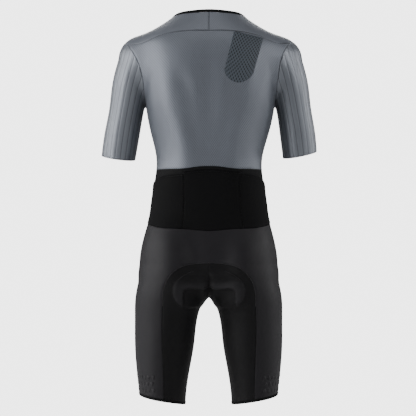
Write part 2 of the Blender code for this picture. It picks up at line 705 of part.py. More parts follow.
def collar_grid():
    rows = []
    for rise in (BINDING, 0.0):
        left, right = neck_ring(-1, rise), neck_ring(1, rise)
        for side, ring in ((-1, left), (1, right)):
            ring[0] = from_front(side * ZIP_OPENING, NECKLINE[-1][1] + rise)
        middle = from_behind(0.0, NECKLINE[0][1] + rise)
        left[-1] = right[-1] = middle
        rows.append(joined(left, right[::-1]))
    return np.array(rows)


def lower_back_grid(found):
    """The panel behind the pockets; its rows below the mouths are also the pockets' own points."""
    waist, foot = both(found, "waist"), both(found, "foot")
    share = mouth_shares()[..., None]
    grid = trunk_chart(trunk_place(waist) * (1 - share) + trunk_place(foot) * share)
    grid[0], grid[-1] = waist, foot
    grid[:, 0], grid[:, -1] = found["hip side", -1], found["hip side", 1]
    return grid


def patch_grid():
    """The perforated patch, seen from behind, with a rounded foot."""
    columns, rows = 7, 10
    (x0, z0), (x1, z1) = PATCH_TOP
    (x2, z2), (x3, z3) = PATCH_FOOT
    u = np.linspace(0, 1, columns + 1)[None, :]
    v = np.linspace(0, 1, rows + 1)[:, None]
    x = (x0 + (x1 - x0) * u) * (1 - v) + (x2 + (x3 - x2) * u) * v
    z = (z0 + (z1 - z0) * u) * (1 - v) + (z2 + (z3 - z2) * u) * v
    z = z - PATCH_ROUND * (1 - (2 * u - 1) ** 2) ** 0.7 * v ** 2
    return from_behind(x, z)


def seat_relief(points):
    """How far the seat pad lifts the cloth at each point: two soft lobes beside the middle seam."""
    across, height = np.abs(points[:, 0]), points[:, 2]
    lobe = np.sqrt(((across - 0.050) / 0.040) ** 2 + ((height + 0.612) / 0.050) ** 2)
    return PAD_RELIEF * (1 - ramp(lobe, 0.65, 1.1)) * (points[:, 1] < 0.03)


def build_cloth(collection):
    found = leg_seams(seams())
    grey = ((0.15, 0.16, 0.18), 0.55)
    light = ((0.22, 0.23, 0.26), 0.45)
    black = ((0.008, 0.008, 0.009), 0.70)
    charcoal = ((0.018, 0.018, 0.020), 0.60)

    cloth("back_panel", weld([(back_grid(found), False)]), grey, collection)
    for side, name in SIDES.items():
        cloth("front_" + name, weld([(front_grid(found, side), side < 0)]), grey, collection)

        rings = [found["armhole", side]] + [sleeve_ring(side, share, RING) for share in SLEEVE_SHARES[1:]]
        fade = ramp(np.array(SLEEVE_SHARES), 0.0, RIB_FADE)[:, None]
        crest = (np.arange(RING) % RIB_STEPS * RIB_HEIGHT * fade).ravel()
        cloth("sleeve_" + name, weld([(np.array(rings), side > 0)], closed=True), light, collection,
              raised=lambda points, crest=crest: crest)

        behind = joined(found["seat fold"], found["arch", side], found["insert", side],
                        found["back leg", side])
        before = joined(found["front hip", side], found["front leg", side])
        found["outer", side] = coons(leg_chart(side), leg_place(side), found["foot", side],
                                     found["hem", "outer", side], behind, before)

        def place(points, side=side):
            return trunk_place(points, side)
        insert = coons(trunk_chart, place, found["arch", side], found["under seat", side],
                       found["seat middle"], found["insert", side])
        belly = coons(trunk_chart, place, found["front waist", side], found["under belly", side],
                      joined(found["hip side", side], found["front hip", side]), found["belly middle"])
        under = joined(found["under belly", side], found["crotch"][::-1], found["under seat", side])
        thigh = coons(leg_chart(side), leg_place(side, inside=True), under, found["hem", "inner", side],
                      found["front leg", side], found["back leg", side])
        flip = side < 0
        cloth("shorts_inner_" + name, weld([(insert, flip), (belly, flip), (thigh, flip)]), charcoal,
              collection, raised=seat_relief)

        hem = np.array([joined(found[edge, "outer", side], found[edge, "inner", side])[:-1]
                        for edge in ("hem", "end")])
        cloth("leg_hem_" + name, weld([(hem, flip)], closed=True), black, collection)

    cloth("shorts_outer", weld([(found["outer", -1], True), (found["outer", 1], False)]), charcoal,
          collection)
    cloth("collar", weld([(collar_grid(), False)]), black, collection)
    cloth("mesh_patch", weld([(patch_grid(), False)]), black, collection, thick=PATCH_CLOTH,
          lift=PATCH_LIFT + PATCH_CLOTH)

    base = lower_back_grid(found)
    cloth("lower_back", weld([(base, False)]), black, collection)
    first_seam, second_seam = BACK_OUTER, BACK_OUTER + 2 * BACK_INNER
    for name, grid in (("left", base[MOUTH_ROWS:, :first_seam + 1]),
                       ("centre", base[MOUTH_ROWS - 1:, first_seam:second_seam + 1]),
                       ("right", base[MOUTH_ROWS:, second_seam:])):
        cloth("pocket_" + name, weld([(grid, False)]), black, collection, thick=PATCH_CLOTH,
              lift=LAYER_GAP + PATCH_CLOTH)


# ---------------------------------------------------------------- the zip

def tape_inner(height):
    """Half the gap between the two rows of teeth: they part below the slider's post."""
    apart = ramp(height, SLIDER["height"] - 0.0045, SLIDER["height"] - 0.0008)
    return SEAM_GAP / 2 + (SLIDER["neck"] / 2 + SEAM_GAP - SEAM_GAP / 2) * apart


def build_tape(name, side, collection):
    """A tape with its row of teeth: one L-shaped section swept up the front."""
    low, high = WAIST_SEAM[-1][1] + 0.003, NECKLINE[-1][1] + BINDING
    slider = SLIDER["height"]
    heights = np.concatenate([np.linspace(low, slider - 0.0045, 15),
                              np.linspace(slider - 0.0033, slider - 0.0008, 3),
                              np.linspace(slider + 0.006, high, 2)])
    loops = []
    for height in heights:
        near = tape_inner(height)
        section = ((near, TAPE["foot"]), (TAPE["edge"], TAPE["foot"]), (TAPE["edge"], TAPE["top"]),
                   (near + TAPE["teeth"], TAPE["top"]), (near + TAPE["teeth"], TAPE["crown"]),
                   (near, TAPE["crown"]))
        across = from_front(np.array([side * x for x, _ in section]), np.full(len(section), height))
        depth = np.array([d for _, d in section])
        loops.append(across + normals_at(across) * depth[:, None])
    size = len(loops[0])
    faces = []
    for row in range(len(loops) - 1):
        for i in range(size):
            j = (i + 1) % size
            faces.append([row * size + i, row * size + j, (row + 1) * size + j, (row + 1) * size + i])
    faces.append(list(range(size))[::-1])
    faces.append([(len(loops) - 1) * size + i for i in range(size)])
    if side < 0:
        faces = [face[::-1] for face in faces]
    put(name, np.concatenate(loops), faces, ((0.02, 0.02, 0.022), 0.6), collection)


def slider_frame():
    """Place of the slider on the front: its middle on the cloth, and its outward tilt about X."""
    middle = from_front(0.0, SLIDER["height"])
    normal = normals_at(middle)
    return middle, math.atan2(normal[2], normal[1])


def prism(name, outline, wide, collection):
    """A flat outline in the (along, out) plane, wide across X, centred."""
    shape = bmesh.new()
    ring = [shape.verts.new((-wide / 2, out, along_zip)) for along_zip, out in outline]
    face = shape.faces.new(ring)
    grown = bmesh.ops.extrude_face_region(shape, geom=[face])
    moved = [v for v in grown["geom"] if isinstance(v, bmesh.types.BMVert)]
    bmesh.ops.translate(shape, vec=(wide, 0, 0), verts=moved)
    bmesh.ops.recalc_face_normals(shape, faces=shape.faces)
    mesh = bpy.data.meshes.new(name)
    shape.to_mesh(mesh)
    shape.free()
    made = bpy.data.objects.new(name, mesh)
    collection.objects.link(made)
    return made


def rectangle(start, end, low, high):
    return ((start, low), (end, low), (end, high), (start, high))


def build_slider(collection, cutters):
    """Two plates joined by a post between the tapes, and a bridge that holds the pull."""
    middle, tilt = slider_frame()
    half, plate = SLIDER["long"] / 2, SLIDER["plate"]
    top = TAPE["crown"] + SLIDER["lift"]
    foot = TAPE["foot"] - SLIDER["lift"]
    made = prism("zip_slider", rectangle(-half, half, top, top + plate), SLIDER["wide"], collection)
    crown_top = top + plate + 0.0034
    bridge = ((-0.0032, top + plate / 2), (-0.0032, crown_top - 0.0012), (-0.0020, crown_top),
              (0.0020, crown_top), (0.0032, crown_top - 0.0012), (0.0032, top + plate / 2),
              (0.0012, top + plate / 2), (0.0012, crown_top - 0.0010), (-0.0012, crown_top - 0.0010),
              (-0.0012, top + plate / 2))
    pieces = (
        prism("slider_foot", rectangle(-half, half, foot - plate, foot), SLIDER["wide"], cutters),
        prism("slider_post", rectangle(0.0, half - 0.0005, foot - plate / 2, top + plate / 2),
              SLIDER["neck"] - 0.0004, cutters),
        prism("slider_bridge", bridge, 0.0016, cutters),
    )
    for piece in pieces:
        piece.hide_render = True
        piece.display_type = "WIRE"
        union = made.modifiers.new(piece.name, "BOOLEAN")
        union.operation = "UNION"
        union.object = piece
    made.data.materials.append(material("zip_slider", (0.05, 0.05, 0.055), 0.35, 0.9))
    for piece in (made, *pieces):
        piece.location = middle
        piece.rotation_euler.x = tilt
    return middle, tilt, top + plate


def build_pull(collection, middle, tilt, plate_top):
    """A flat tab with an eye; its bar turns under the slider's bridge, which is the joint's axis."""
    outline = bpy.data.curves.new("zip_pull", "CURVE")
    outline.dimensions = "2D"
    outline.fill_mode = "BOTH"
    outline.extrude = PULL["thick"] / 2
    bar, wide, long = PULL["bar"] / 2, PULL["wide"] / 2, PULL["long"]
    eye = PULL["eye"] / 2
    tab = [(wide, bar), (wide, -long + wide)]
    tab += [(wide * math.cos(a), -long + wide + wide * math.sin(a))
            for a in np.linspace(-math.pi / 8, -math.pi * 7 / 8, 5)]
    tab += [(-wide, -long + wide), (-wide, bar)]
    for loop in (tab, [(eye, -bar), (eye, -0.0048), (-eye, -0.0048), (-eye, -bar)]):
        spline = outline.splines.new("POLY")
        spline.points.add(len(loop) - 1)
        for point, (x, y) in zip(spline.points, loop):
            point.co = (x, y, 0, 1)
        spline.use_cyclic_u = True
    outline.materials.append(material("zip_pull", (0.05, 0.05, 0.055), 0.35, 0.9))
    pull = bpy.data.objects.new("zip_pull", outline)
    collection.objects.link(pull)
    axis_out = plate_top + 0.0013
    out = np.array([0.0, math.cos(tilt), math.sin(tilt)])
    pull.location = middle + out * axis_out
    pull.rotation_euler.x = tilt + math.pi / 2
    return pull


def main():
    for old in list(bpy.data.objects):
        bpy.data.objects.remove(old)
    roadsuit = bpy.data.collections.new("roadsuit")
    cutters = bpy.data.collections.new("cutters")
    for collection in (roadsuit, cutters):
        bpy.context.scene.collection.children.link(collection)
    build_cloth(roadsuit)
    for side, name in SIDES.items():
        build_tape("zip_tape_" + name, side, roadsuit)
    middle, tilt, plate_top = build_slider(roadsuit, cutters)
    build_pull(roadsuit, middle, tilt, plate_top)


main()
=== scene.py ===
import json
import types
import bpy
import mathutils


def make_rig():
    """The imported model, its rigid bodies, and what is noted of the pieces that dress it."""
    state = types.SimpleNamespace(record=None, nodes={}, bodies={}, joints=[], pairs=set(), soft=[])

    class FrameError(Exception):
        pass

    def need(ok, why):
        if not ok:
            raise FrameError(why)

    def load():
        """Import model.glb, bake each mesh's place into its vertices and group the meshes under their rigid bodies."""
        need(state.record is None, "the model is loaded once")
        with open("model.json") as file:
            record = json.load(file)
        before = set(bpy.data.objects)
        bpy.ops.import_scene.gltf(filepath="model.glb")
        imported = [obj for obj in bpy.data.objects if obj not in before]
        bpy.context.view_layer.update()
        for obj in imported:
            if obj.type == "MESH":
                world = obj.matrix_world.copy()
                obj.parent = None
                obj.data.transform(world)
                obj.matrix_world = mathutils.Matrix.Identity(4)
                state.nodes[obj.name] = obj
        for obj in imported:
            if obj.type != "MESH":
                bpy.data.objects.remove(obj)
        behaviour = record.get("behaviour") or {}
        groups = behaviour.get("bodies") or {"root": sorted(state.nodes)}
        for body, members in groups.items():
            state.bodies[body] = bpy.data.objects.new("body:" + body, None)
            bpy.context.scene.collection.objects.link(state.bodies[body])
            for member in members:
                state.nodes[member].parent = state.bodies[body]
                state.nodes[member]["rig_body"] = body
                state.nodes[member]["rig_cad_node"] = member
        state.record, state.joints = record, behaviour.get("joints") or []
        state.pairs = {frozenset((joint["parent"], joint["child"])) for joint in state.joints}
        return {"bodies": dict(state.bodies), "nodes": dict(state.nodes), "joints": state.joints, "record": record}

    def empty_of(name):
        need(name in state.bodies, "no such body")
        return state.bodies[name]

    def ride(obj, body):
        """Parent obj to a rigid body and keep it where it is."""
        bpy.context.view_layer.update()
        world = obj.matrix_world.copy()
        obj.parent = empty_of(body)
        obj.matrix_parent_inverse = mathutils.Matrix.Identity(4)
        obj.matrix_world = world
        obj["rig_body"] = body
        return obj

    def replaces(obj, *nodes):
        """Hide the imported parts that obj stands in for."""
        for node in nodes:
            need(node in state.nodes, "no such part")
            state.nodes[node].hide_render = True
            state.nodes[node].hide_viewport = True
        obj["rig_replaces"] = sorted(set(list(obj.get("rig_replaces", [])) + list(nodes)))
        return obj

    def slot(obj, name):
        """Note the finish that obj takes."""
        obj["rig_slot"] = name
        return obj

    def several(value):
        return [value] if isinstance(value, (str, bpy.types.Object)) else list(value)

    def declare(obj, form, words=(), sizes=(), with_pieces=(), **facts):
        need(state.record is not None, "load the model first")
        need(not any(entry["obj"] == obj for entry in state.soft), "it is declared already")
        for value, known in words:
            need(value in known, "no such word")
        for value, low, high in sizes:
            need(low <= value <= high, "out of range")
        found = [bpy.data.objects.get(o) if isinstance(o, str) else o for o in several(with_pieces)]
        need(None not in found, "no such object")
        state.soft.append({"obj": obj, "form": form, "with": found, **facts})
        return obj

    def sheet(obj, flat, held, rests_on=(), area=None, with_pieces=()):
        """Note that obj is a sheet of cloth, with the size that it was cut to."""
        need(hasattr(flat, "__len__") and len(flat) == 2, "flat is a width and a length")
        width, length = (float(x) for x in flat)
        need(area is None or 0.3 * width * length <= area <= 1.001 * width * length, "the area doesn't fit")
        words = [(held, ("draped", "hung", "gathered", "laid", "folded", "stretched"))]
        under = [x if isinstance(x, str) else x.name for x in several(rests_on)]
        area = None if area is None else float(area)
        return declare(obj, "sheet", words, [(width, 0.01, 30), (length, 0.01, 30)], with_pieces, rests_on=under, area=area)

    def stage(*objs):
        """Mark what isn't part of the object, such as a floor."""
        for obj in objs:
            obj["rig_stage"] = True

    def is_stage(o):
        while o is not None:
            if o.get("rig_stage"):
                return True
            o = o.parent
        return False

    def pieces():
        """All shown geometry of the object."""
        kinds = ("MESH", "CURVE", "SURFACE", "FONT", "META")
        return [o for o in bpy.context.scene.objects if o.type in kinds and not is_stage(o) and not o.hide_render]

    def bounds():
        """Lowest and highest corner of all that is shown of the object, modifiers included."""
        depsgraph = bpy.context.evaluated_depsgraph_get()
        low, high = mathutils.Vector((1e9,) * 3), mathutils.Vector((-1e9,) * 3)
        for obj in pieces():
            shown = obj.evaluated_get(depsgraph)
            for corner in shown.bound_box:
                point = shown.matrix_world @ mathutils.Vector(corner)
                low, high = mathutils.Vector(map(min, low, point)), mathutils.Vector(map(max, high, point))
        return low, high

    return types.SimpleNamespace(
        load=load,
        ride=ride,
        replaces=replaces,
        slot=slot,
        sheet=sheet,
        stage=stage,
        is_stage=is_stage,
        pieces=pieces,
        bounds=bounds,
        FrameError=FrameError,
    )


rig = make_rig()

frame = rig.load()

import functools
import json
import math

import bmesh
import bpy
import numpy as np

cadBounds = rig.bounds()
detail = 4  # fine squares for each square of the plain solids
sides = {-1: "left", 1: "right"}

# The body that fills the suit: level sections as height, middle x, half width, back y, front y.
trunk = {"power": 2.35, "low": -0.56, "lowCap": 0.06, "high": 0.12, "highCap": 0.05, "rows": (
    (-0.64, 0.0, 0.145, -0.105, 0.09), (-0.56, 0.0, 0.16, -0.116, 0.098),
    (-0.49, 0.0, 0.153, -0.112, 0.103), (-0.42, 0.0, 0.1452, -0.098, 0.105),
    (-0.35, 0.0, 0.136, -0.086, 0.104), (-0.29, 0.0, 0.13, -0.083, 0.107),
    (-0.22, 0.0, 0.1455, -0.092, 0.115), (-0.15, 0.0, 0.159, -0.106, 0.121),
    (-0.08, 0.0, 0.166, -0.114, 0.116), (-0.02, 0.0, 0.175, -0.108, 0.098),
    (0.015, 0.0, 0.165, -0.097, 0.084), (0.04, 0.0, 0.1265, -0.084, 0.072),
    (0.065, 0.0, 0.09, -0.068, 0.062), (0.09, 0.0, 0.067, -0.055, 0.058),
    (0.12, 0.0, 0.06, -0.052, 0.06))}
arm = {"power": 2.0, "low": -0.34, "lowCap": 0.04, "high": -0.04, "highCap": 0.054, "rows": (
    (-0.34, 0.233, 0.041, 0.0, 0.088), (-0.286, 0.2262, 0.0422, -0.009, 0.083),
    (-0.217, 0.2168, 0.0436, -0.021, 0.075), (-0.158, 0.206, 0.0432, -0.033, 0.067),
    (-0.1, 0.1935, 0.048, -0.046, 0.058), (-0.04, 0.1765, 0.0495, -0.052, 0.052),
    (0.0, 0.165, 0.047, -0.05, 0.05))}
leg = {"power": 2.1, "low": -0.92, "lowCap": 0.05, "high": -0.54, "highCap": 0.12, "rows": (
    (-0.92, 0.113, 0.056, -0.078, 0.052), (-0.868, 0.1128, 0.0572, -0.08, 0.056),
    (-0.8, 0.1117, 0.0655, -0.086, 0.068), (-0.735, 0.1082, 0.0732, -0.094, 0.078),
    (-0.675, 0.1045, 0.077, -0.102, 0.084), (-0.62, 0.0965, 0.083, -0.114, 0.088),
    (-0.56, 0.088, 0.0785, -0.12, 0.088), (-0.48, 0.08, 0.075, -0.11, 0.085))}

# Seams round the body (degrees from the middle of the back, height) and seen from behind (x, height).
seamRoutes = {
    "neck": ((0, 0.073), (41, 0.0705), (70, 0.0675), (90, 0.0625), (115, 0.047), (145, 0.021),
             (165, 0.008), (180, 0.004)),
    "waist": ((0, -0.3036), (20, -0.305), (38, -0.3092), (60, -0.3097), (92, -0.3125), (135, -0.319),
              (180, -0.325)),
    "foot": ((0, -0.4591), (17, -0.4567), (33, -0.454), (49, -0.4526), (70, -0.4457), (92, -0.44)),
    "yoke": ((0.0, 0.0262), (0.0592, 0.025), (0.1, 0.0195), (0.1315, 0.0098), (0.158, -0.001)),
    "arch": ((0.0, -0.5363), (0.0264, -0.5377), (0.0516, -0.541), (0.0719, -0.5481),
             (0.0911, -0.5625), (0.1035, -0.5819), (0.1108, -0.606), (0.112, -0.64),
             (0.1135, -0.7106), (0.111, -0.791), (0.1095, -0.87)),
    "frontLeg": ((92, -0.44), (118, -0.5), (142, -0.55), (158, -0.605), (168, -0.68),
                 (173, -0.78), (174, -0.87)),
    "archCorner": 4, "archCrotch": 7, "sideAtWaist": 93.0, "sideAtHip": 92.0,
}
pockets = {"seam": {-1: {"waist": 0.0616, "foot": 0.065}, 1: {"waist": 0.0745, "foot": 0.0827}},
           "mouthAt": (0.0, 0.45, 1.0), "upper": (0.045, 0.06, 0.12), "lower": (0.085, 0.108, 0.255)}
sleeves = {"ribs": 22, "perRib": 8, "top": (0.208, -0.006), "armpit": (0.1605, -0.152), "tilt": 0.13,
           "hem": {-1: {"outer": (0.267, -0.2745), "inner": (0.185, -0.286)},
                   1: {"outer": (0.267, -0.264), "inner": (0.185, -0.281)}},
           "scoopBack": {-1: (0.018, 0.75), 1: (0.0225, 0.5)}, "scoopFront": (0.022, 0.75),
           "valley": (0.5, 0.77), "yokeRib": 1.5, "ownFrom": 0.3,
           "shares": (0.0, 0.05, 0.14, 0.25, 0.37, 0.49, 0.61, 0.74, 0.87, 1.0)}
legHem = {"height": -0.873, "tilt": 0.0115, "band": 0.0045}
zipper = {"opening": 0.0045, "edge": 0.012, "binding": 0.006}
backInner, backOuter = 3 * detail, 5 * detail
half = backInner + backOuter
zipRows, neckRows = 17 * detail, 11 * detail
seatRows, archColumns, insertRows, legRows, crotchColumns = (n * detail for n in (4, 6, 5, 9, 3))
pocketRows, mouthRows = 5 * detail, 2 * detail
bellyRows = mouthRows + pocketRows + seatRows + archColumns + insertRows
sideShares = (0.0, 0.04, 0.12, 0.26, 0.44, 0.62, 0.81, 1.0)
ring = sleeves["ribs"] * sleeves["perRib"]
armpitAt, yokeAt = ring // 2, int(sleeves["yokeRib"] * sleeves["perRib"])
fanTop, fanFoot, fanTopRadius, fanFootRadius, legAxisY = -0.1, -0.5, 0.2, 0.1, -0.012
crotchBack, crotchFront = math.radians(65), math.radians(115)
farOff, castShare, nudge, longestMove, tiny = 0.25, 0.8, 0.0002, 0.003, 1e-12
steps = {"cast": 60, "settle": 4, "valley": 25, "curve": 400, "middle": 240, "belly": 60, "under": 120}
# How softly the limbs join on: the least, what is added, and the heights between which it grows.
softMeet = {"arm": (0.008, 0.032, -0.15, -0.07), "legs": 0.03, "hips": (0.03, 0.005, -0.62, -0.55)}
legMeets = (-0.58, -0.46)
lean = {"chest": 0.003, "from": (-0.34, -0.16), "to": (-0.02, 0.03), "hips": 0.001, "hipsTo": (-0.5, -0.4)}


def smooth(knots, values):  # natural cubic spline
    knots, values = np.array(knots, float), np.array(values, float)
    gap = np.diff(knots)
    slope = (np.diff(values, axis=0).T / gap).T
    size = len(knots)
    matrix, right = np.eye(size), np.zeros_like(values)
    for i in range(1, size - 1):
        matrix[i, i - 1:i + 2] = gap[i - 1], 2 * (gap[i - 1] + gap[i]), gap[i]
        right[i] = 6 * (slope[i] - slope[i - 1])
    bend = np.linalg.solve(matrix, right)

    def at(x):
        x = np.clip(x, knots[0], knots[-1])
        i = np.clip(np.searchsorted(knots, x) - 1, 0, size - 2)
        h = gap[i]
        a = (knots[i + 1] - x) / h
        b = 1 - a
        if values.ndim > 1:
            a, b, h = a[..., None], b[..., None], h[..., None]
        return (a * values[i] + b * values[i + 1]
                + ((a ** 3 - a) * bend[i] + (b ** 3 - b) * bend[i + 1]) * h * h / 6)
    return at


def ramp(x, start, end):
    t = np.clip((x - start) / (end - start), 0, 1)
    return t * t * (3 - 2 * t)


for part in (trunk, arm, leg):
    height, *columns = np.transpose(part["rows"])
    names = ("x", "wide", "back", "front")
    part["form"] = {name: smooth(height, column) for name, column in zip(names, columns)}


def limbDistance(p, limb, side=0):
    form, power = limb["form"], limb["power"]
    height = np.clip(p[..., 2], limb["low"], limb["high"])
    cap = np.where(p[..., 2] > height, limb["highCap"], limb["lowCap"])
    back, front = form["back"](height), form["front"](height)
    dx = p[..., 0] - side * form["x"](height)
    dy = p[..., 1] - (back + front) / 2
    dz = p[..., 2] - height
    level = np.abs(dx / form["wide"](height)) ** power + np.abs(2 * dy / (front - back)) ** power
    ratio = np.sqrt(level ** (2 / power) + (dz / cap) ** 2) + 1e-9
    return (ratio - 1) * np.sqrt(dx * dx + dy * dy + dz * dz) / ratio


def blendOf(a, b, reach):
    overlap = np.maximum(reach - np.abs(a - b), 0) / reach
    return np.minimum(a, b) - overlap * overlap * reach / 4


def leanAt(height):
    chest = lean["chest"] * ramp(height, *lean["from"]) * (1 - ramp(height, *lean["to"]))
    return chest - lean["hips"] * (1 - ramp(height, *lean["hipsTo"]))


def figure(points):  # distance outside the body
    p = np.array(points, float)
    height = p[..., 2]
    p[..., 0] -= leanAt(height)
    body = limbDistance(p, trunk)
    p[..., 0] = np.abs(p[..., 0])
    least, more, *between = softMeet["arm"]
    body = blendOf(body, limbDistance(p, arm, 1), least + more * ramp(height, *between))
    legs = blendOf(limbDistance(p, leg, 1), limbDistance(p, leg, -1), softMeet["legs"])
    least, more, *between = softMeet["hips"]
    return blendOf(body, legs, least + more * ramp(height, *between))


def meeting(points):  # positive nearer the arm, negative nearer the trunk
    p = np.array(points, float)
    p[..., 0] -= leanAt(p[..., 2])
    near = limbDistance(p, trunk)
    p[..., 0] = np.abs(p[..., 0])
    return near - limbDistance(p, arm, 1)


def slopeOf(points, reach=0.0005):
    slope = np.zeros_like(points)
    for axis in range(3):
        shift = np.zeros(3)
        shift[axis] = reach
        slope[..., axis] = (figure(points + shift) - figure(points - shift)) / (2 * reach)
    return slope


def normalsAt(points):
    slope = slopeOf(np.asarray(points, float))
    return slope / np.linalg.norm(slope, axis=-1, keepdims=True)


def settle(points, rounds=steps["settle"]):  # straight onto the body
    for _ in range(rounds):
        slope = slopeOf(points, nudge)
        size = np.sum(slope * slope, axis=-1)
        points = points - slope * (figure(points) / np.maximum(size, 0.05))[..., None]
    return points


def cast(origin, direction, inward=False):
    direction = direction / np.linalg.norm(direction, axis=-1, keepdims=True)
    travel = np.zeros(direction.shape[:-1])
    step = castShare if inward else -castShare
    for _ in range(steps["cast"]):
        travel = travel + step * figure(origin + direction * travel[..., None])
    return settle(origin + direction * travel[..., None])


def turned(angle, rise):
    flat = np.cos(rise)
    return np.stack([np.sin(angle) * flat, -np.cos(angle) * flat, np.sin(rise)], -1)


def trunkChart(places):
    angle, height = places[..., 0], places[..., 1]
    rise = np.where(height > fanTop, (height - fanTop) / fanTopRadius,
                    np.where(height < fanFoot, (height - fanFoot) / fanFootRadius, 0.0))
    origin = np.zeros(places.shape[:-1] + (3,))
    origin[..., 2] = np.clip(height, fanFoot, fanTop)
    return cast(origin, turned(angle, rise))


def trunkPlace(points, side=0):
    angle = np.arctan2(points[..., 0], -points[..., 1])
    angle = np.where(side * angle < -math.pi / 2, angle + 2 * math.pi * side, angle)
    z, reach = points[..., 2], np.hypot(points[..., 0], points[..., 1])
    above = fanTop + fanTopRadius * np.arctan2(z - fanTop, reach)
    below = fanFoot + fanFootRadius * np.arctan2(z - fanFoot, reach)
    return np.stack([angle, np.where(z > fanTop, above, np.where(z < fanFoot, below, z))], -1)


def legAxis(height, side):  # it runs into the middle of the body above the crotch
    x = side * leg["form"]["x"](height) * (1 - ramp(height, *legMeets))
    return np.stack([x, np.full_like(x, legAxisY), height], -1)


def legChart(side):
    def chart(places):
        angle, height = places[..., 0] * side, places[..., 1]
        return cast(legAxis(height, side), turned(angle, np.zeros_like(height)))
    return chart


def legPlace(side, inside=False):
    def place(points):
        out = points - legAxis(points[..., 2], side)
        angle = np.arctan2(out[..., 0] * side, -out[..., 1])
        way = -1 if inside else 1
        angle = np.where(angle * way < -math.pi / 2, angle + 2 * math.pi * way, angle)
        return np.stack([angle, points[..., 2]], -1)
    return place


def fromSide(x, height, y):  # straight in from behind (y below 0) or from the front
    x, height = np.broadcast_arrays(np.asarray(x, float), np.asarray(height, float))
    origin = np.stack([x, np.full_like(x, y), height], -1)
    return cast(origin, np.broadcast_to([0.0, -np.sign(y), 0.0], origin.shape), inward=True)


def fromBehind(x, height):
    return fromSide(x, height, -farOff)


def fromFront(x, height):
    return fromSide(x, height, farOff)


def levelRing(angles, heights):
    origin = np.zeros(np.shape(angles) + (3,))
    origin[..., 2] = heights
    return cast(origin, turned(np.asarray(angles), np.zeros_like(angles)))


def lengthsOf(points):
    return np.concatenate([[0], np.cumsum(np.linalg.norm(np.diff(points, axis=0), axis=1))])


def pick(points, want, run=None):  # the points at the wanted lengths along a line
    run = lengthsOf(points) if run is None else run
    return np.stack([np.interp(want, run, column) for column in np.transpose(points)], -1)


def evenPick(points, count):
    return pick(points, np.linspace(0, lengthsOf(points)[-1], count + 1))


def along(points, count):  # evenly along a smooth curve through the points
    points = np.asarray(points, float)
    length = lengthsOf(points)
    return evenPick(smooth(length, points)(np.linspace(0, length[-1], steps["curve"])), count)


def seamHeight(name, angles):
    rows = np.array(seamRoutes[name], float)
    mirrored = np.concatenate([[[-rows[1, 0], rows[1, 1]]], rows])
    return smooth(np.radians(mirrored[:, 0]), mirrored[:, 1])(np.abs(angles))


def ringSeam(name, angles):
    return levelRing(angles, seamHeight(name, angles))


def refined(shares):
    spots = np.arange((len(shares) - 1) * detail + 1) / detail
    return np.interp(spots, np.arange(len(shares)), shares)


def sleeveFrame(side, share):
    hem, ends = sleeves["hem"][side], []
    for start, end, sign in ((sleeves["top"], hem["outer"], 1), (sleeves["armpit"], hem["inner"], -1)):
        height = start[1] + (end[1] - start[1]) * share
        middle, wide = float(arm["form"]["x"](height)), float(arm["form"]["wide"](height))
        if height > arm["high"]:
            wide *= math.sqrt(max(1 - ((height - arm["high"]) / arm["highCap"]) ** 2, 0.05))
        own = ramp(share, 0, sleeves["ownFrom"])  # from the armhole's ends to the arm's own width
        reach = start[0] * (1 - own) + (middle + sign * wide) * own
        ends.append(np.array([side * reach, 0.0, height]))
    outer, inner = ends
    centre = (outer + inner) / 2
    centre[0] += leanAt(centre[2])
    centre[1] = float(arm["form"]["back"](centre[2]) + arm["form"]["front"](centre[2])) / 2
    out = (outer - inner) / np.linalg.norm(outer - inner)
    back = np.array([0.0, -1.0, -sleeves["tilt"] * share])
    back -= out * back.dot(out)
    back /= np.linalg.norm(back)
    return centre, out, back, np.cross(out, back) * side


def sleeveRing(side, share):
    centre, out, back, down = sleeveFrame(side, share)
    turn = np.arange(ring) * 2 * math.pi / ring
    depth = (1 - np.cos(turn)) / 2
    (deepBack, skewBack), (deepFront, skewFront) = sleeves["scoopBack"][side], sleeves["scoopFront"]
    scoop = np.where(np.sin(turn) > 0, deepBack * np.sin(math.pi * depth ** skewBack),
                     deepFront * np.sin(math.pi * depth ** skewFront))
    origin = centre - down * (scoop * (1 - share) ** 2)[:, None]
    return cast(origin, np.cos(turn)[:, None] * out + np.sin(turn)[:, None] * back)


def armholeRing(side):  # its lower part follows the valley between arm and trunk
    points = sleeveRing(side, 0.0)
    low = ramp((1 - np.cos(np.arange(ring) * 2 * math.pi / ring)) / 2, *sleeves["valley"])
    near = low > 0
    moved = points[near]
    for _ in range(steps["valley"]):
        miss = np.stack([figure(moved), meeting(moved)], -1)
        slopes = []
        for shift in ((nudge, 0.0, 0.0), (0.0, 0.0, nudge)):
            ahead, behind = moved + shift, moved - shift
            slopes.append(np.stack([figure(ahead) - figure(behind), meeting(ahead) - meeting(behind)], -1))
        step = -np.linalg.solve(np.stack(slopes, -1) / (2 * nudge), miss[..., None])[..., 0]
        step *= np.minimum(1, longestMove / (np.linalg.norm(step, axis=-1, keepdims=True) + tiny))
        moved = moved + np.stack([step[:, 0], np.zeros(len(step)), step[:, 1]], -1)
    points[near] = settle(points[near] + (moved - points[near]) * low[near, None])
    return points


def pinned(line, start, end):
    line[0], line[-1] = start, end
    return line


def sideLine(start, end, shares, side):
    first, last = trunkPlace(start, side), trunkPlace(end, side)
    return pinned(trunkChart(first + (last - first) * np.asarray(shares)[:, None]), start, end)


def mouthShares():
    out = np.clip((np.abs(np.arange(-half, half + 1)) - backInner) / backOuter, 0, 1)
    upper, lower = (smooth(pockets["mouthAt"], pockets[name])(out) for name in ("upper", "lower"))
    v = np.arange(detail)[:, None] / detail
    below = np.linspace(0, 1, pocketRows + 1)[:, None]
    return np.concatenate([upper * v, upper + (lower - upper) * v, lower + (1 - lower) * below])


def evenly(points, count):
    return pinned(settle(evenPick(points, count)), points[0], points[-1])


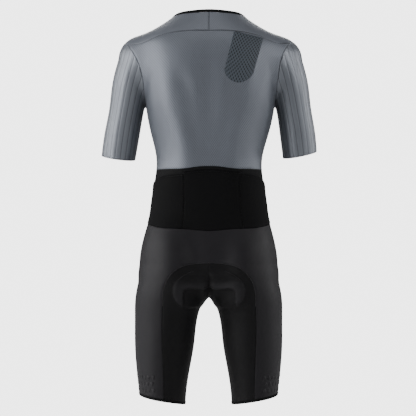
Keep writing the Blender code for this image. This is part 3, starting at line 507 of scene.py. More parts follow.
def joined(*lines):
    return np.concatenate([lines[0]] + [line[1:] for line in lines[1:]])


def midLine(start, end):  # round between the legs, in the middle plane
    angle = np.linspace(start, end, steps["middle"])
    origin = np.broadcast_to([0.0, 0.0, fanFoot], angle.shape + (3,))
    return cast(origin, np.stack([np.zeros_like(angle), -np.cos(angle), -np.sin(angle)], -1))


def bodySeams():
    found = {}
    for side in sides:
        armhole = armholeRing(side)
        found["armhole", side] = armhole
        corner = armhole[yokeAt]
        flat = along([(side * x, z) for x, z in seamRoutes["yoke"]] + [(corner[0], corner[2])], half)
        found["yoke", side] = np.concatenate([fromBehind(flat[:-1, 0], flat[:-1, 1]), [corner]])
        waistSide = ringSeam("waist", np.radians([seamRoutes["sideAtWaist"] * side]))[0]
        hip = ringSeam("foot", np.radians([seamRoutes["sideAtHip"] * side]))[0]
        found["chestSide", side] = sideLine(armhole[armpitAt], waistSide, refined(sideShares), side)
        found["hipSide", side] = sideLine(waistSide, hip, mouthShares()[:, 0], side)
        for name, last in (("waist", waistSide), ("foot", hip)):
            near = fromBehind(pockets["seam"][side][name] * side, seamRoutes[name][2][1])
            seamAngle, endAngle = trunkPlace(near, side)[0], trunkPlace(last, side)[0]
            row = ringSeam(name, joined(np.linspace(0, seamAngle, backInner + 1),
                                        np.linspace(seamAngle, endAngle, backOuter + 1)))
            found[name, side] = pinned(row, row[0], last)
        row = ringSeam("waist", np.linspace(trunkPlace(waistSide, side)[0], side * math.pi, half + 1))
        found["frontWaist", side] = pinned(row, waistSide, row[-1])
    return found


def legSeams(found):
    archTop = fromBehind(0.0, seamRoutes["arch"][0][1])
    start = math.atan2(fanFoot - archTop[2], -archTop[1])
    found["seatMiddle"] = evenly(midLine(start, crotchBack), insertRows)
    found["crotch"] = evenly(midLine(crotchBack, crotchFront), crotchColumns)
    rising = midLine(crotchFront, math.pi)
    heights = np.linspace(rising[-1, 2], seamRoutes["waist"][-1][1], steps["belly"])
    level = fromFront(np.zeros_like(heights), heights)
    found["bellyMiddle"] = evenly(joined(rising, level)[::-1], bellyRows)
    heights = np.linspace(seamRoutes["foot"][0][1], seamRoutes["arch"][0][1], seatRows + 1)
    found["seatFold"] = fromBehind(np.zeros_like(heights), heights)
    for side in sides:
        chart = legChart(side)
        hemX, hemZ = seamRoutes["arch"][-1]
        backAngle = legPlace(side)(fromBehind(side * hemX, hemZ))[0]
        frontAngle = math.radians(seamRoutes["frontLeg"][-1][0])
        spans = {"outer": np.linspace(backAngle, frontAngle, half + 1),
                 "inner": np.linspace(frontAngle - 2 * math.pi, backAngle,
                                      half + crotchColumns + archColumns + 1)}
        for name, angles in spans.items():
            for edge, rise in (("hem", legHem["band"]), ("end", 0.0)):
                level = legHem["height"] + legHem["tilt"] * np.sin(angles) + rise
                found[edge, name, side] = chart(np.stack([angles, level], -1))
        for edge in ("hem", "end"):
            found[edge, "inner", side][0] = found[edge, "outer", side][-1]
            found[edge, "inner", side][-1] = found[edge, "outer", side][0]
        hemBack, hemFront = found["hem", "outer", side][0], found["hem", "outer", side][-1]
        corner, crotch = seamRoutes["archCorner"], seamRoutes["archCrotch"]
        arch = [(side * x, z) for x, z in seamRoutes["arch"][:-1]] + [(hemBack[0], hemBack[2])]
        for name, points, count in (("arch", arch[:corner + 1], archColumns),
                                    ("insert", arch[corner:crotch + 1], insertRows),
                                    ("backLeg", arch[crotch:], legRows)):
            flat = along(points, count)
            found[name, side] = fromBehind(flat[:, 0], flat[:, 1])
        found["backLeg", side][-1] = hemBack
        stops = len(seamRoutes["frontLeg"])
        route = smooth(range(stops), [(math.radians(a), z) for a, z in seamRoutes["frontLeg"]])
        upper, lower = chart(route(np.linspace(0, 3, 160))), chart(route(np.linspace(3, stops - 1, 160)))
        upper[0], lower[0], lower[-1] = found["foot", side][-1], upper[-1], hemFront
        found["frontHip", side] = evenly(upper, seatRows + archColumns + insertRows)
        found["frontLeg", side] = evenly(lower, legRows)
        for name, startAt, endAt, count in (
                ("underSeat", found["seatMiddle"][-1], found["insert", side][-1], archColumns),
                ("underBelly", found["frontHip", side][-1], found["crotch"][-1], half)):
            line = trunkChart(np.linspace(trunkPlace(startAt, side), trunkPlace(endAt, side), steps["under"]))
            found[name, side] = evenly(pinned(line, startAt, endAt), count)
    return found


def coons(chart, place, top, foot, left, right):  # points on the body between four seams
    u = np.linspace(0, 1, len(top))[None, :, None]
    v = np.linspace(0, 1, len(left))[:, None, None]
    t, f, l, r = (place(np.asarray(edge)) for edge in (top, foot, left, right))
    places = ((1 - v) * t[None] + v * f[None] + (1 - u) * l[:, None] + u * r[:, None]
              - (1 - u) * (1 - v) * t[0] - u * (1 - v) * t[-1] - (1 - u) * v * f[0] - u * v * f[-1])
    grid = np.empty((len(left), len(top), 3))
    grid[1:-1, 1:-1] = chart(places[1:-1, 1:-1])
    grid[0], grid[-1], grid[:, 0], grid[:, -1] = top, foot, left, right
    return grid


def both(name):
    return joined(seam[name, -1][::-1], seam[name, 1])


def pair(name):
    return [seam[name, side] for side in sides]


def neckRing(side, rise=0.0):
    start = math.pi - math.asin(zipper["opening"] / trunk["form"]["front"](seamRoutes["neck"][-1][1]))
    angles = np.linspace(start, 0, neckRows + 1) * side
    return levelRing(angles, seamHeight("neck", angles) + rise)


seam = legSeams(bodySeams())
print("seams found")


def gridUv(grid):  # metres across each row from its middle, and down the columns
    across = np.array([lengthsOf(row) for row in grid])
    down = np.cumsum([0, *np.linalg.norm(np.diff(grid, axis=0), axis=2).mean(axis=1)])
    return np.stack([across - across[:, across.shape[1] // 2][:, None],
                     np.broadcast_to(down[:, None], across.shape)], -1)


def unit(vectors):
    return vectors / (np.linalg.norm(vectors, axis=-1, keepdims=True) + tiny)


def weld(patches, closed=False):  # patches are (grid, flip, uv)
    points, faces, corners, known = [], [], [], {}

    def index(point):  # points within a hundredth of a millimetre are one
        key = tuple(np.round(point * 1e5).astype(int))
        if key not in known:
            known[key] = len(points)
            points.append(point)
        return known[key]
    for grid, flip, uv in patches:
        ids = np.array([[index(point) for point in row] for row in grid])
        if closed:
            ids = np.concatenate([ids, ids[:, :1]], axis=1)
        for i in range(ids.shape[0] - 1):
            for j in range(ids.shape[1] - 1):
                spots = ((i, j), (i + 1, j), (i + 1, j + 1), (i, j + 1))[::-1 if flip else 1]
                face = [ids[s] for s in spots]
                if len(set(face)) < 3:
                    continue
                keep = [n for n in range(4) if face[n] != face[n - 1]]
                faces.append([face[n] for n in keep])
                corners.append([uv[spots[n]] for n in keep])
    return np.array(points), faces, corners


def newPiece(name, points, faces, material, corners=None, smoothly=True, body="suit", slot=None):
    mesh = bpy.data.meshes.new(name)
    mesh.from_pydata([tuple(p) for p in points], [], faces)
    if corners is not None:
        layer = mesh.uv_layers.new(name="cloth")
        layer.data.foreach_set("uv", np.concatenate([np.reshape(c, (-1, 2)) for c in corners]).ravel())
    mesh.polygons.foreach_set("use_smooth", np.full(len(faces), smoothly))
    mesh.materials.append(material)
    mesh.update()
    piece = bpy.data.objects.new(name, mesh)
    bpy.context.scene.collection.objects.link(piece)
    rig.ride(piece, body)
    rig.slot(piece, slot)
    return piece


shell = {"thick": 0.001, "seamGap": 0.0003, "rollDeep": 0.0005, "rollWide": 0.0016}
sharpest, stitchSunk, sheets = 0.35, 0.0003, {}


def rimPull(points, faces, normals):  # the open edges, and the way in from each of their points
    edges = {edge for face in faces for edge in zip(face, face[1:] + face[:1])}
    rim = [(a, b) for a, b in edges if (b, a) not in edges]
    pull = {}
    for a, b in rim:
        for end in (a, b):
            inward = np.cross(normals[end], points[b] - points[a])
            pull.setdefault(end, []).append(unit(inward))
    for end, ways in pull.items():
        total = np.sum(ways, axis=0)
        pull[end] = total / max(sharpest, total.dot(total) / len(ways))
    return rim, pull


def makeCloth(name, node, patches, material, closed=False, relief=None, lift=0.0, tone=None,
              thick=shell["thick"], gap=shell["seamGap"]):
    points, faces, corners = weld(patches, closed)
    normals = normalsAt(points)
    rim, pull = rimPull(points, faces, normals)
    raised = (0.0 if relief is None else relief(points)) + np.full(len(points), lift)
    # the rim: pulled in by half the seam gap and turned down, with a narrow loop behind it
    ends = sorted(pull)
    loop = {end: len(points) + n for n, end in enumerate(ends)}
    body = points.copy()
    for end in ends:
        body[end] += pull[end] * gap / 2
    allPoints = np.concatenate([body, [points[end] + pull[end] * shell["rollWide"] for end in ends]])
    allNormals = np.concatenate([normals, normals[ends]])
    height = np.concatenate([raised, raised[ends]])
    inner = allPoints + allNormals * (height - thick)[:, None]
    height[ends] -= shell["rollDeep"]
    outer = allPoints + allNormals * height[:, None]
    uvAt = {i: c for face, corner in zip(faces, corners) for i, c in zip(face, corner)}
    skin = [[loop.get(i, i) for i in face] for face in faces] + [[a, b, loop[b], loop[a]] for a, b in rim]
    skinUv = corners + [[uvAt[i] for i in (a, b, b, a)] for a, b in rim]
    count = len(allPoints)
    walls = skin + [[i + count for i in face[::-1]] for face in skin]
    walls += [[b, a, a + count, b + count] for a, b in rim]
    wallUv = skinUv + [corner[::-1] for corner in skinUv] + [[uvAt[i] for i in (b, a, a, b)] for a, b in rim]
    piece = newPiece(name, np.concatenate([outer, inner]), walls, material, wallUv, slot=node,
                     smoothly=np.arange(len(walls)) < 2 * len(skin))  # the cut edge keeps its own shading
    if tone is not None:  # painted highlight along the pad's rim, for its material
        layer = piece.data.attributes.new("stretch", "FLOAT", "POINT")
        layer.data.foreach_set("value", np.tile(tone(allPoints), 2))
    outside = outer[np.array([(face + face[-1:])[:4] for face in skin])]
    across = np.cross(outside[:, 2] - outside[:, 0], outside[:, 3] - outside[:, 1])
    grids = [np.concatenate([grid, grid[:, :1]], axis=1) if closed else grid for grid, _, _ in patches]
    sheets[name] = {"piece": piece, "node": node, "grids": grids,
                    "area": float(np.linalg.norm(across, axis=1).sum() / 2)}
    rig.replaces(piece, node)


def seamLine(points, step=0.003, lift=None, closed=False):  # points, normals and whether it closes
    if closed:
        points = np.concatenate([points, points[:1]])
    line = evenPick(points, max(1, int(round(lengthsOf(points)[-1] / step))))
    if closed:
        line = line[:-1]
    normals = normalsAt(line)
    for _ in range(4):  # evened along the line, so that what is swept on it doesn't kink
        ahead, behind = np.roll(normals, -1, 0), np.roll(normals, 1, 0)
        if not closed:
            ahead[-1], behind[0] = normals[-1], normals[0]
        normals = normals * 0.4 + (ahead + behind) * 0.3
    normals = unit(normals)
    return line if lift is None else line + normals * lift(line)[:, None], normals, closed


def sweep(lines, profile):  # closed tubes with a profile of (across, out) along the lines
    points, faces, size = [], [], len(profile)
    for line, normals, closed in lines:
        way = np.roll(line, -1, 0) - np.roll(line, 1, 0) if closed else np.gradient(line, axis=0)
        side, first = unit(np.cross(normals, unit(way))), len(points)
        for p, n, s in zip(line, normals, side):
            points.extend(p + s * a + n * o for a, o in profile)
        for i in range(len(line) - (not closed)):
            here, there = first + i * size, first + (i + 1) % len(line) * size
            faces += [[here + j, here + (j + 1) % size, there + (j + 1) % size, there + j]
                      for j in range(size)]
        if not closed:
            last = first + (len(line) - 1) * size
            faces += [list(range(first, first + size))[::-1], list(range(last, last + size))]
    return points, faces


def cordShape(wide=0.0009, high=0.0004, deep=0.0009):
    right = [(wide / 2, -deep), (wide / 2, 0), (wide / 4, high)]
    return right + [(-a, out) for a, out in right[::-1]]


stitchForms = {  # corners as (along, across, out) in half lengths, half widths and heights
    "thread": ([(-1, 0, 0), (-0.55, -1, 0), (0.55, -1, 0), (1, 0, 0), (0.55, 1, 0), (-0.55, 1, 0),
                (-0.45, 0, 1), (0.45, 0, 1)],
               ((5, 4, 3, 2, 1, 0), (0, 1, 6), (1, 2, 7, 6), (2, 3, 7), (3, 4, 7), (4, 5, 6, 7), (5, 0, 6))),
    "plate": ([(a * size, b * size, out) for size, out in ((1, 0), (0.8, 1)) for a, b in
               ((-0.85, -1), (0.85, -1), (1, -0.75), (0.55, 0.75), (0.35, 1), (-0.35, 1), (-0.55, 0.75),
                (-1, -0.75))],
              [[n, (n + 1) % 8, 8 + (n + 1) % 8, 8 + n] for n in range(8)]
              + [list(range(8))[::-1], list(range(8, 16))]),
}


def stitchRow(lines, pitch, long, wide, high, offset=0.0, lift=0.0, across=False, form="thread"):
    shape, shapeFaces = stitchForms[form]
    points, faces = [], []
    for line, normals, _ in lines:
        run = lengthsOf(line)
        spots = np.arange(pitch / 2, run[-1], pitch)
        at, up = pick(line, spots), pick(normals, spots, run)
        tangent = unit(np.gradient(at, axis=0))
        side = unit(np.cross(up, tangent))
        if across:
            tangent, side = side, -tangent
        for p, n, t, s in zip(at + (tangent if across else side) * offset, up, tangent, side):
            faces += [[len(points) + i for i in face] for face in shapeFaces]
            points += [p + t * a * long / 2 + s * b * wide / 2 + n * (lift + (high if out else -stitchSunk))
                       for a, b, out in shape]
    return points, faces


def gathered(*shapes):
    points, faces = [], []
    for found, made in shapes:
        faces += [[len(points) + i for i in face] for face in made]
        points += list(found)
    return np.array(points, float), faces


# Materials. The groups put out masks and heights only; every shader stays in its material.
def feed(tree, socket, value):
    if isinstance(value, bpy.types.NodeSocket):
        tree.links.new(value, socket)
    elif value is not None:
        socket.default_value = (*value, 1.0) if socket.type == "RGBA" else value


def addNode(tree, kind, values=None, **settings):
    node = tree.nodes.new("ShaderNode" + kind)
    for name, value in settings.items():
        setattr(node, name, value)
    for key, value in (values or {}).items():
        feed(tree, node.inputs[key], value)
    return node


def doMath(tree, operation, *values, clamp=False):
    return addNode(tree, "Math", dict(enumerate(values)), operation=operation, use_clamp=clamp).outputs[0]


def fade(tree, value, start, end):  # softly from 1 at the start to 0 at the end
    return addNode(tree, "MapRange", {"Value": value, "From Min": start, "From Max": end, "To Min": 1.0,
                                      "To Max": 0.0}, interpolation_type="SMOOTHSTEP").outputs[0]


def newGroup(name, outputs, **inputs):
    tree = bpy.data.node_groups.new(name, "ShaderNodeTree")
    tree.interface.new_socket(name="Vector", in_out="INPUT", socket_type="NodeSocketVector")
    for label, value in inputs.items():
        socket = tree.interface.new_socket(name=label, in_out="INPUT", socket_type="NodeSocketFloat")
        socket.default_value = value
    for label in outputs:
        tree.interface.new_socket(name=label, in_out="OUTPUT", socket_type="NodeSocketFloat")
    given, result = tree.nodes.new("NodeGroupInput").outputs, tree.nodes.new("NodeGroupOutput").inputs
    return tree, functools.partial(doMath, tree), given, result


def makeKnitGroup():  # fine diagonal rib: a diamond of two slanted waves
    tree, do, given, result = newGroup("knitSurface", ("Height",), Pitch=0.001, Stretch=1.0)
    x, y, _ = addNode(tree, "SeparateXYZ", {0: given["Vector"]}).outputs
    u = do("DIVIDE", x, given["Pitch"])
    v = do("DIVIDE", y, do("MULTIPLY", given["Pitch"], given["Stretch"]))
    waves = [do("SINE", do("MULTIPLY", do(slant, u, v), math.pi)) for slant in ("ADD", "SUBTRACT")]
    feed(tree, result["Height"], do("MULTIPLY_ADD", do("MULTIPLY", *waves), 0.5, 0.5))
    return tree


def makeHolesGroup():  # staggered oval holes: 1 inside a hole
    tree, do, given, result = newGroup("holeLattice", ("Hole", "Height"), Across=0.007, Down=0.007,
                                       Width=0.4, Length=0.4)
    x, y, _ = addNode(tree, "SeparateXYZ", {0: given["Vector"]}).outputs
    found = []
    for shift in (0.0, 0.5):
        squares = []
        for value, pitch, size in ((x, "Across", "Width"), (y, "Down", "Length")):
            part = do("FRACT", do("ADD", do("DIVIDE", value, given[pitch]), shift))
            part = do("DIVIDE", do("SUBTRACT", part, 0.5), given[size])
            squares.append(do("MULTIPLY", part, part))
        found.append(do("ADD", *squares))
    hole = fade(tree, do("SQRT", do("MINIMUM", *found)), 0.35, 0.62)
    feed(tree, result["Hole"], hole)
    feed(tree, result["Height"], do("SUBTRACT", 1.0, hole))
    return tree


def makeRibsGroup():  # narrow groove once in every pitch
    tree, do, given, result = newGroup("ribGrooves", ("Groove",), Pitch=0.013, Width=0.12)
    x = addNode(tree, "SeparateXYZ", {0: given["Vector"]}).outputs[0]
    phase = do("FRACT", do("ADD", do("DIVIDE", x, given["Pitch"]), 0.5))
    feed(tree, result["Groove"], fade(tree, do("ABSOLUTE", do("SUBTRACT", phase, 0.5)), 0.0, given["Width"]))
    return tree


def makeMottleGroup():  # slow and quick unevenness of dyed cloth
    tree, do, given, result = newGroup("clothMottle", ("Tone",), Slow=14.0, Quick=900.0)
    parts = []
    for name, share, rough in (("Slow", 0.6, 0.5), ("Quick", 0.4, 0.7)):
        noise = addNode(tree, "TexNoise", {"Vector": given["Vector"], "Scale": given[name], "Detail": 3.0,
                                           "Roughness": rough})
        parts.append(do("MULTIPLY", noise.outputs[0], share))
    feed(tree, result["Tone"], do("ADD", *parts))
    return tree


knitGroup, holesGroup = makeKnitGroup(), makeHolesGroup()
ribsGroup, mottleGroup = makeRibsGroup(), makeMottleGroup()


def useGroup(tree, group, vector, **values):
    node = tree.nodes.new("ShaderNodeGroup")
    node.node_tree = group
    for name, value in {"Vector": vector, **values}.items():
        feed(tree, node.inputs[name], value)
    return node.outputs


def mixColour(tree, factor, a, b):
    return addNode(tree, "Mix", {0: factor, 6: a, 7: b}, data_type="RGBA").outputs[2]


def newMaterial(name):
    material = bpy.data.materials.new(name)
    material.use_nodes = True
    return material, material.node_tree


def finishSurface(tree, shade, tone, roughness, swing, height, bump, deep, metallic, specular, sheen=0.0):
    rough = addNode(tree, "MapRange", {"Value": tone, "To Min": roughness - swing,
                                       "To Max": roughness + swing})
    relief = addNode(tree, "Bump", {"Strength": bump, "Distance": deep, "Height": height})
    for name, value in {"Base Color": shade, "Roughness": rough.outputs[0], "Normal": relief.outputs[0],
                        "Metallic": metallic, "Specular IOR Level": specular, "Sheen Weight": sheen,
                        "Sheen Roughness": 0.4}.items():
        feed(tree, tree.nodes["Principled BSDF"].inputs[name], value)


def clothMaterial(name, colour, dark, knit=(0.0012, 1.6), roughness=0.6, sheen=0.0, holes=None, grooves=None,
                  stripes=None, inside=None, bump=0.25, specular=0.3, metallic=0.0, stretched=None):
    material, tree = newMaterial(name)
    place = addNode(tree, "UVMap", uv_map="cloth").outputs[0]
    height = useGroup(tree, knitGroup, place, Pitch=knit[0], Stretch=knit[1])["Height"]
    blotch = useGroup(tree, mottleGroup, place)["Tone"]
    tone = doMath(tree, "MULTIPLY_ADD", height, 0.45, doMath(tree, "MULTIPLY", blotch, 0.5), clamp=True)
    shade = mixColour(tree, tone, dark, colour)
    if holes:
        found = useGroup(tree, holesGroup, place, **dict(zip(("Across", "Down", "Width", "Length"), holes)))
        shade = mixColour(tree, found["Hole"], shade, inside)
        height = doMath(tree, "MULTIPLY_ADD", found["Height"], 1.6, height)
    # painted shade: the grooves between the ribs are painted in the darker inside colour
    if grooves:
        found = useGroup(tree, ribsGroup, place, Pitch=grooves[0], Width=grooves[1])
        shade = mixColour(tree, found["Groove"], shade, inside)
    if stripes:
        pitch, width, turn = stripes
        turned = addNode(tree, "Mapping", {"Vector": place, "Rotation": (0.0, 0.0, turn)}).outputs[0]
        found = useGroup(tree, ribsGroup, turned, Pitch=pitch, Width=width)
        shade = mixColour(tree, found["Groove"], shade, inside)
        height = doMath(tree, "ADD", height, found["Groove"])
    # painted highlight: a lighter colour along the pad's rim, where the light catches it
    if stretched:
        rimLit = addNode(tree, "Attribute", attribute_type="GEOMETRY", attribute_name="stretch")
        shade = mixColour(tree, rimLit.outputs["Fac"], shade, stretched)
    finishSurface(tree, shade, blotch, roughness, 0.07, height, bump, 0.0004, metallic, specular, sheen)
    return material


def plainMaterial(name, colour, dark, scale=900.0, roughness=0.5, metallic=0.0, specular=0.3):
    material, tree = newMaterial(name)  # threads, bindings and zip metal, on object coordinates
    place = addNode(tree, "TexCoord").outputs["Object"]
    tone = useGroup(tree, mottleGroup, place, Slow=scale / 12, Quick=scale)["Tone"]
    shade = mixColour(tree, tone, dark, colour)
    finishSurface(tree, shade, tone, roughness, 0.1, tone, 0.15, 0.0002, metallic, specular)
    return material


cloths = {
    "backKnit": {"colour": (0.152, 0.166, 0.194), "dark": (0.112, 0.123, 0.145), "roughness": 0.47,
                 "specular": 0.45, "sheen": 0.04, "metallic": 0.4, "bump": 0.2,
                 "holes": (0.0054, 0.0072, 0.5, 0.5), "inside": (0.094, 0.103, 0.122)},
    "yokeKnit": {"colour": (0.158, 0.172, 0.2), "dark": (0.12, 0.131, 0.154), "roughness": 0.49,
                 "specular": 0.45, "sheen": 0.04, "metallic": 0.35, "bump": 0.2,
                 "holes": (0.0048, 0.0062, 0.4, 0.36), "inside": (0.11, 0.12, 0.142)},
    # ribKnit's inside colour is painted shade in the grooves between its ribs
    "ribKnit": {"colour": (0.178, 0.192, 0.217), "dark": (0.141, 0.153, 0.175), "roughness": 0.41,
                "specular": 0.5, "sheen": 0.04, "metallic": 0.45,
                "grooves": (0.013, 0.1), "inside": (0.062, 0.068, 0.081)},
    "patchMesh": {"colour": (0.072, 0.086, 0.104), "dark": (0.048, 0.059, 0.073), "roughness": 0.62,
                  "holes": (0.0078, 0.0108, 0.4, 0.52), "inside": (0.006, 0.007, 0.009)},
    "pocketKnit": {"colour": (0.0036, 0.0036, 0.004), "dark": (0.0018, 0.0018, 0.0021),
                   "knit": (0.0011, 1.2), "roughness": 0.8, "specular": 0.1},
    "underMesh": {"colour": (0.003, 0.003, 0.0034), "dark": (0.0015, 0.0015, 0.0018), "roughness": 0.75,
                  "specular": 0.12, "stripes": (0.0052, 0.45, 0.9), "inside": (0.0056, 0.0056, 0.0063)},
    "shortsKnit": {"colour": (0.0106, 0.0096, 0.0119), "dark": (0.0071, 0.0064, 0.0081),
                   "knit": (0.001, 1.8), "roughness": 0.54, "specular": 0.22, "sheen": 0.02},
    # innerKnit's lighter rim colour is a painted highlight along the pad's rim
    "innerKnit": {"colour": (0.0044, 0.0042, 0.0048), "dark": (0.0028, 0.0026, 0.0031), "knit": (0.001, 1.8),
                  "specular": 0.15, "sheen": 0.01, "stretched": (0.0122, 0.0117, 0.0132)},
}
trimmings = {
    "blackBinding": {"colour": (0.004, 0.004, 0.0045), "dark": (0.002, 0.002, 0.0023), "roughness": 0.75,
                     "specular": 0.1},
    "darkThread": {"colour": (0.03, 0.033, 0.039), "dark": (0.018, 0.02, 0.024)},
    "seamShade": {"colour": (0.078, 0.086, 0.101), "dark": (0.056, 0.062, 0.073)},
    "blackThread": {"colour": (0.005, 0.005, 0.0056), "dark": (0.0025, 0.0025, 0.0028), "specular": 0.15},
    # this thread is painted lighter than the shorts: a painted highlight on the arch seam's ridge and on the pad's
    # upper stitches
    "charcoalThread": {"colour": (0.024, 0.0235, 0.026), "dark": (0.015, 0.0146, 0.016)},
    "gripRubber": {"colour": (0.0122, 0.0112, 0.0136), "dark": (0.009, 0.0083, 0.01), "roughness": 0.54,
                   "specular": 0.22},
    "zipTape": {"colour": (0.012, 0.0126, 0.014), "dark": (0.008, 0.0084, 0.0094), "scale": 1400.0},
    "zipTeeth": {"colour": (0.02, 0.021, 0.023), "dark": (0.012, 0.0126, 0.014), "roughness": 0.35},
    "zipMetal": {"colour": (0.12, 0.123, 0.13), "dark": (0.07, 0.072, 0.077), "roughness": 0.3,
                 "metallic": 0.9, "scale": 500.0},
}
finish = {name: clothMaterial(name, **look) for name, look in cloths.items()}
finish.update({name: plainMaterial(name, **look) for name, look in trimmings.items()})
print("materials made")

# Soft shape of the worn cloth: x, height, reach across, reach down, lean, amount; negative is a hollow.
backShape = ((-0.102, -0.15, 0.036, 0.085, 0.22, 0.0062), (0.104, -0.13, 0.03, 0.08, -0.22, 0.0042),
             (0.0, -0.12, 0.026, 0.12, 0.0, -0.0045), (-0.058, -0.112, 0.018, 0.038, 0.45, -0.003),
             (-0.04, -0.205, 0.016, 0.06, 0.22, -0.0022), (0.046, -0.19, 0.016, 0.075, -0.22, -0.0026),
             (0.062, -0.245, 0.028, 0.065, -0.12, 0.0054), (-0.058, -0.245, 0.028, 0.065, 0.12, 0.006),
             (0.124, -0.215, 0.022, 0.08, -0.1, -0.0046), (-0.124, -0.215, 0.022, 0.08, 0.1, -0.0046))
seatShape = ((-0.036, -0.515, 0.02, 0.05, 0.3, -0.0035), (0.04, -0.52, 0.022, 0.04, -0.3, -0.0022),
             (-0.09, -0.53, 0.035, 0.075, 0.1, 0.003), (0.092, -0.53, 0.035, 0.075, -0.1, 0.002),
             (-0.052, -0.549, 0.022, 0.012, 0.15, -0.0016), (0.052, -0.549, 0.022, 0.012, -0.15, -0.0016),
             (-0.046, -0.577, 0.016, 0.008, 0.0, -0.0012), (0.046, -0.577, 0.016, 0.008, 0.0, -0.0012),
             (-0.1, -0.655, 0.016, 0.06, -0.08, 0.0018), (0.1, -0.655, 0.016, 0.06, 0.08, 0.0015))
pad = {"x": 0.044, "z": -0.604, "wide": 0.044, "high": 0.044, "rise": 0.0026,
       "step": {"x": 0.0335, "z": -0.623, "wide": 0.0335, "high": 0.0302, "rise": 0.0066, "size": 0.029,
                "outward": (0.007, 0.019), "inward": 0.0019, "floor": 0.42, "fade": (0.625, 0.66)},
       "cleft": {"wide": 0.008, "top": 0.548, "foot": 0.593, "deep": 0.0075}}


def moundsAt(points, table):
    x, z = points[:, 0], points[:, 2]
    total = np.zeros(len(points))
    for mx, mz, wide, high, turn, amount in table:
        c, s = math.cos(turn), math.sin(turn)
        a, b = (x - mx) * c + (z - mz) * s, -(x - mx) * s + (z - mz) * c
        total += amount * np.exp(-(a / wide) ** 2 - (b / high) ** 2)
    return total * (1 - ramp(points[:, 1], -0.05, 0.0))


def padShape(points):  # share of the pad, of its raised rim outside and inside its step, and of the cleft
    x, z = np.abs(points[:, 0]), points[:, 2]
    lobe = np.sqrt((np.maximum(x - pad["x"], 0) / pad["wide"]) ** 2 + ((z - pad["z"]) / pad["high"]) ** 2)
    step, cleft = pad["step"], pad["cleft"]
    aside = np.abs(np.maximum(x - step["x"], 0) / step["wide"]) ** 4
    above = np.abs((z - step["z"]) / step["high"]) ** 4
    away = ((aside + above) ** 0.25 - 1) * step["size"]
    near, far = step["outward"]  # the rim is narrow above and falls away slowly to the sides
    outward = near + (far - near) * aside / (aside + above + 1e-9)
    kept = 1 - ramp(-z, *step["fade"])  # the rim fades out below
    outside = np.where(away > 0, np.exp(-(away / outward) ** 2), 0) * kept
    inside = np.where(away > 0, 0, np.exp(-(away / step["inward"]) ** 2)) * kept
    groove = np.exp(-(x / cleft["wide"]) ** 2) * ramp(-z, cleft["top"], cleft["foot"])
    return 1 - ramp(lobe, 0.86, 1.04), outside, inside, np.where(away > 0, 0, kept), groove


def bodyRelief(points):
    whole, outside, inside, floor, groove = padShape(points)
    share = pad["step"]["floor"]
    rim = outside + share * floor + (1 - share) * inside
    padded = pad["rise"] * whole + pad["step"]["rise"] * rim - pad["cleft"]["deep"] * groove
    return (moundsAt(points, backShape) + moundsAt(points, seatShape)
            + padded * (1 - ramp(points[:, 1], 0.0, 0.04)))


def padRimLight(points):  # painted highlight: the knit is painted lighter along the pad's rim, where the light catches it
    whole, outside, _, _, groove = padShape(points)
    return outside ** 0.5 * ramp(whole, 0.0, 0.5) * (1 - groove) * (1 - ramp(points[:, 1], -0.03, 0.0))


def lowerRelief(points):
    return moundsAt(points, backShape)


def finer(grid):  # twice as many rows and columns, on the body
    big = np.empty((2 * grid.shape[0] - 1, 2 * grid.shape[1] - 1, 3))
    big[::2, ::2] = grid
    big[1::2, ::2] = settle((grid[1:] + grid[:-1]) / 2)
    big[::2, 1::2] = settle((grid[:, 1:] + grid[:, :-1]) / 2)
    big[1::2, 1::2] = settle((big[:-1:2, 1::2] + big[2::2, 1::2]) / 2)
    return big


def placeOn(side):
    return lambda points: trunkPlace(points, side)


def patchOf(grid, flip=False):
    return grid, flip, gridUv(grid)


# Back, yoke and fronts
waistFront, neckBack = seamRoutes["waist"][-1][1], seamRoutes["neck"][0][1]
neckFront = seamRoutes["neck"][-1][1]
backEdges = [joined(seam["armhole", side][yokeAt:armpitAt + 1], seam["chestSide", side]) for side in sides]
back = coons(trunkChart, trunkPlace, both("yoke"), both("waist"), *backEdges)
makeCloth("backPanel", "back_panel", [patchOf(back)], finish["backKnit"], relief=bodyRelief)

for side, word in sides.items():
    armhole, waist = seam["armhole", side], seam["frontWaist", side][::-1].copy()
    heights = np.linspace(waistFront, neckFront, zipRows + 1)
    zipEdge = fromFront(np.full_like(heights, side * zipper["opening"]), heights)
    waist[0] = zipEdge[0]
    neckline = neckRing(side)
    outer = joined(seam["chestSide", side][::-1], np.concatenate([armhole[armpitAt:], armhole[:yokeAt + 1]]))
    heights = np.linspace(neckBack, seamRoutes["yoke"][0][1], len(outer) - zipRows - neckRows)
    seam["yokeMiddle", side] = fromBehind(np.zeros_like(heights), heights)
    neckline[0], neckline[-1] = zipEdge[-1], seam["yokeMiddle", side][0]
    front = coons(trunkChart, placeOn(side), waist, seam["yoke", side],
                  joined(zipEdge, neckline, seam["yokeMiddle", side]), outer)
    makeCloth("frontPanel_" + word, "front_" + word, [patchOf(front, side < 0)], finish["yokeKnit"],
              relief=bodyRelief)
print("body panels made")

# Sleeves, with a groove between neighbouring ribs and a fold at the hem
rib = {"high": 0.0004, "pitch": 0.013, "hemAt": 0.016, "hemEdge": 0.01,
       "foldAt": 0.987, "foldWide": 0.0045, "foldDeep": 0.0004}


def ribProfile(column, share):
    away = np.abs((column / sleeves["perRib"] + 0.5) % 1 - 0.5) * 2
    return rib["high"] * (1 - (1 - ramp(away, 0.0, 0.55)) * ramp(share, -0.01, 0.02))


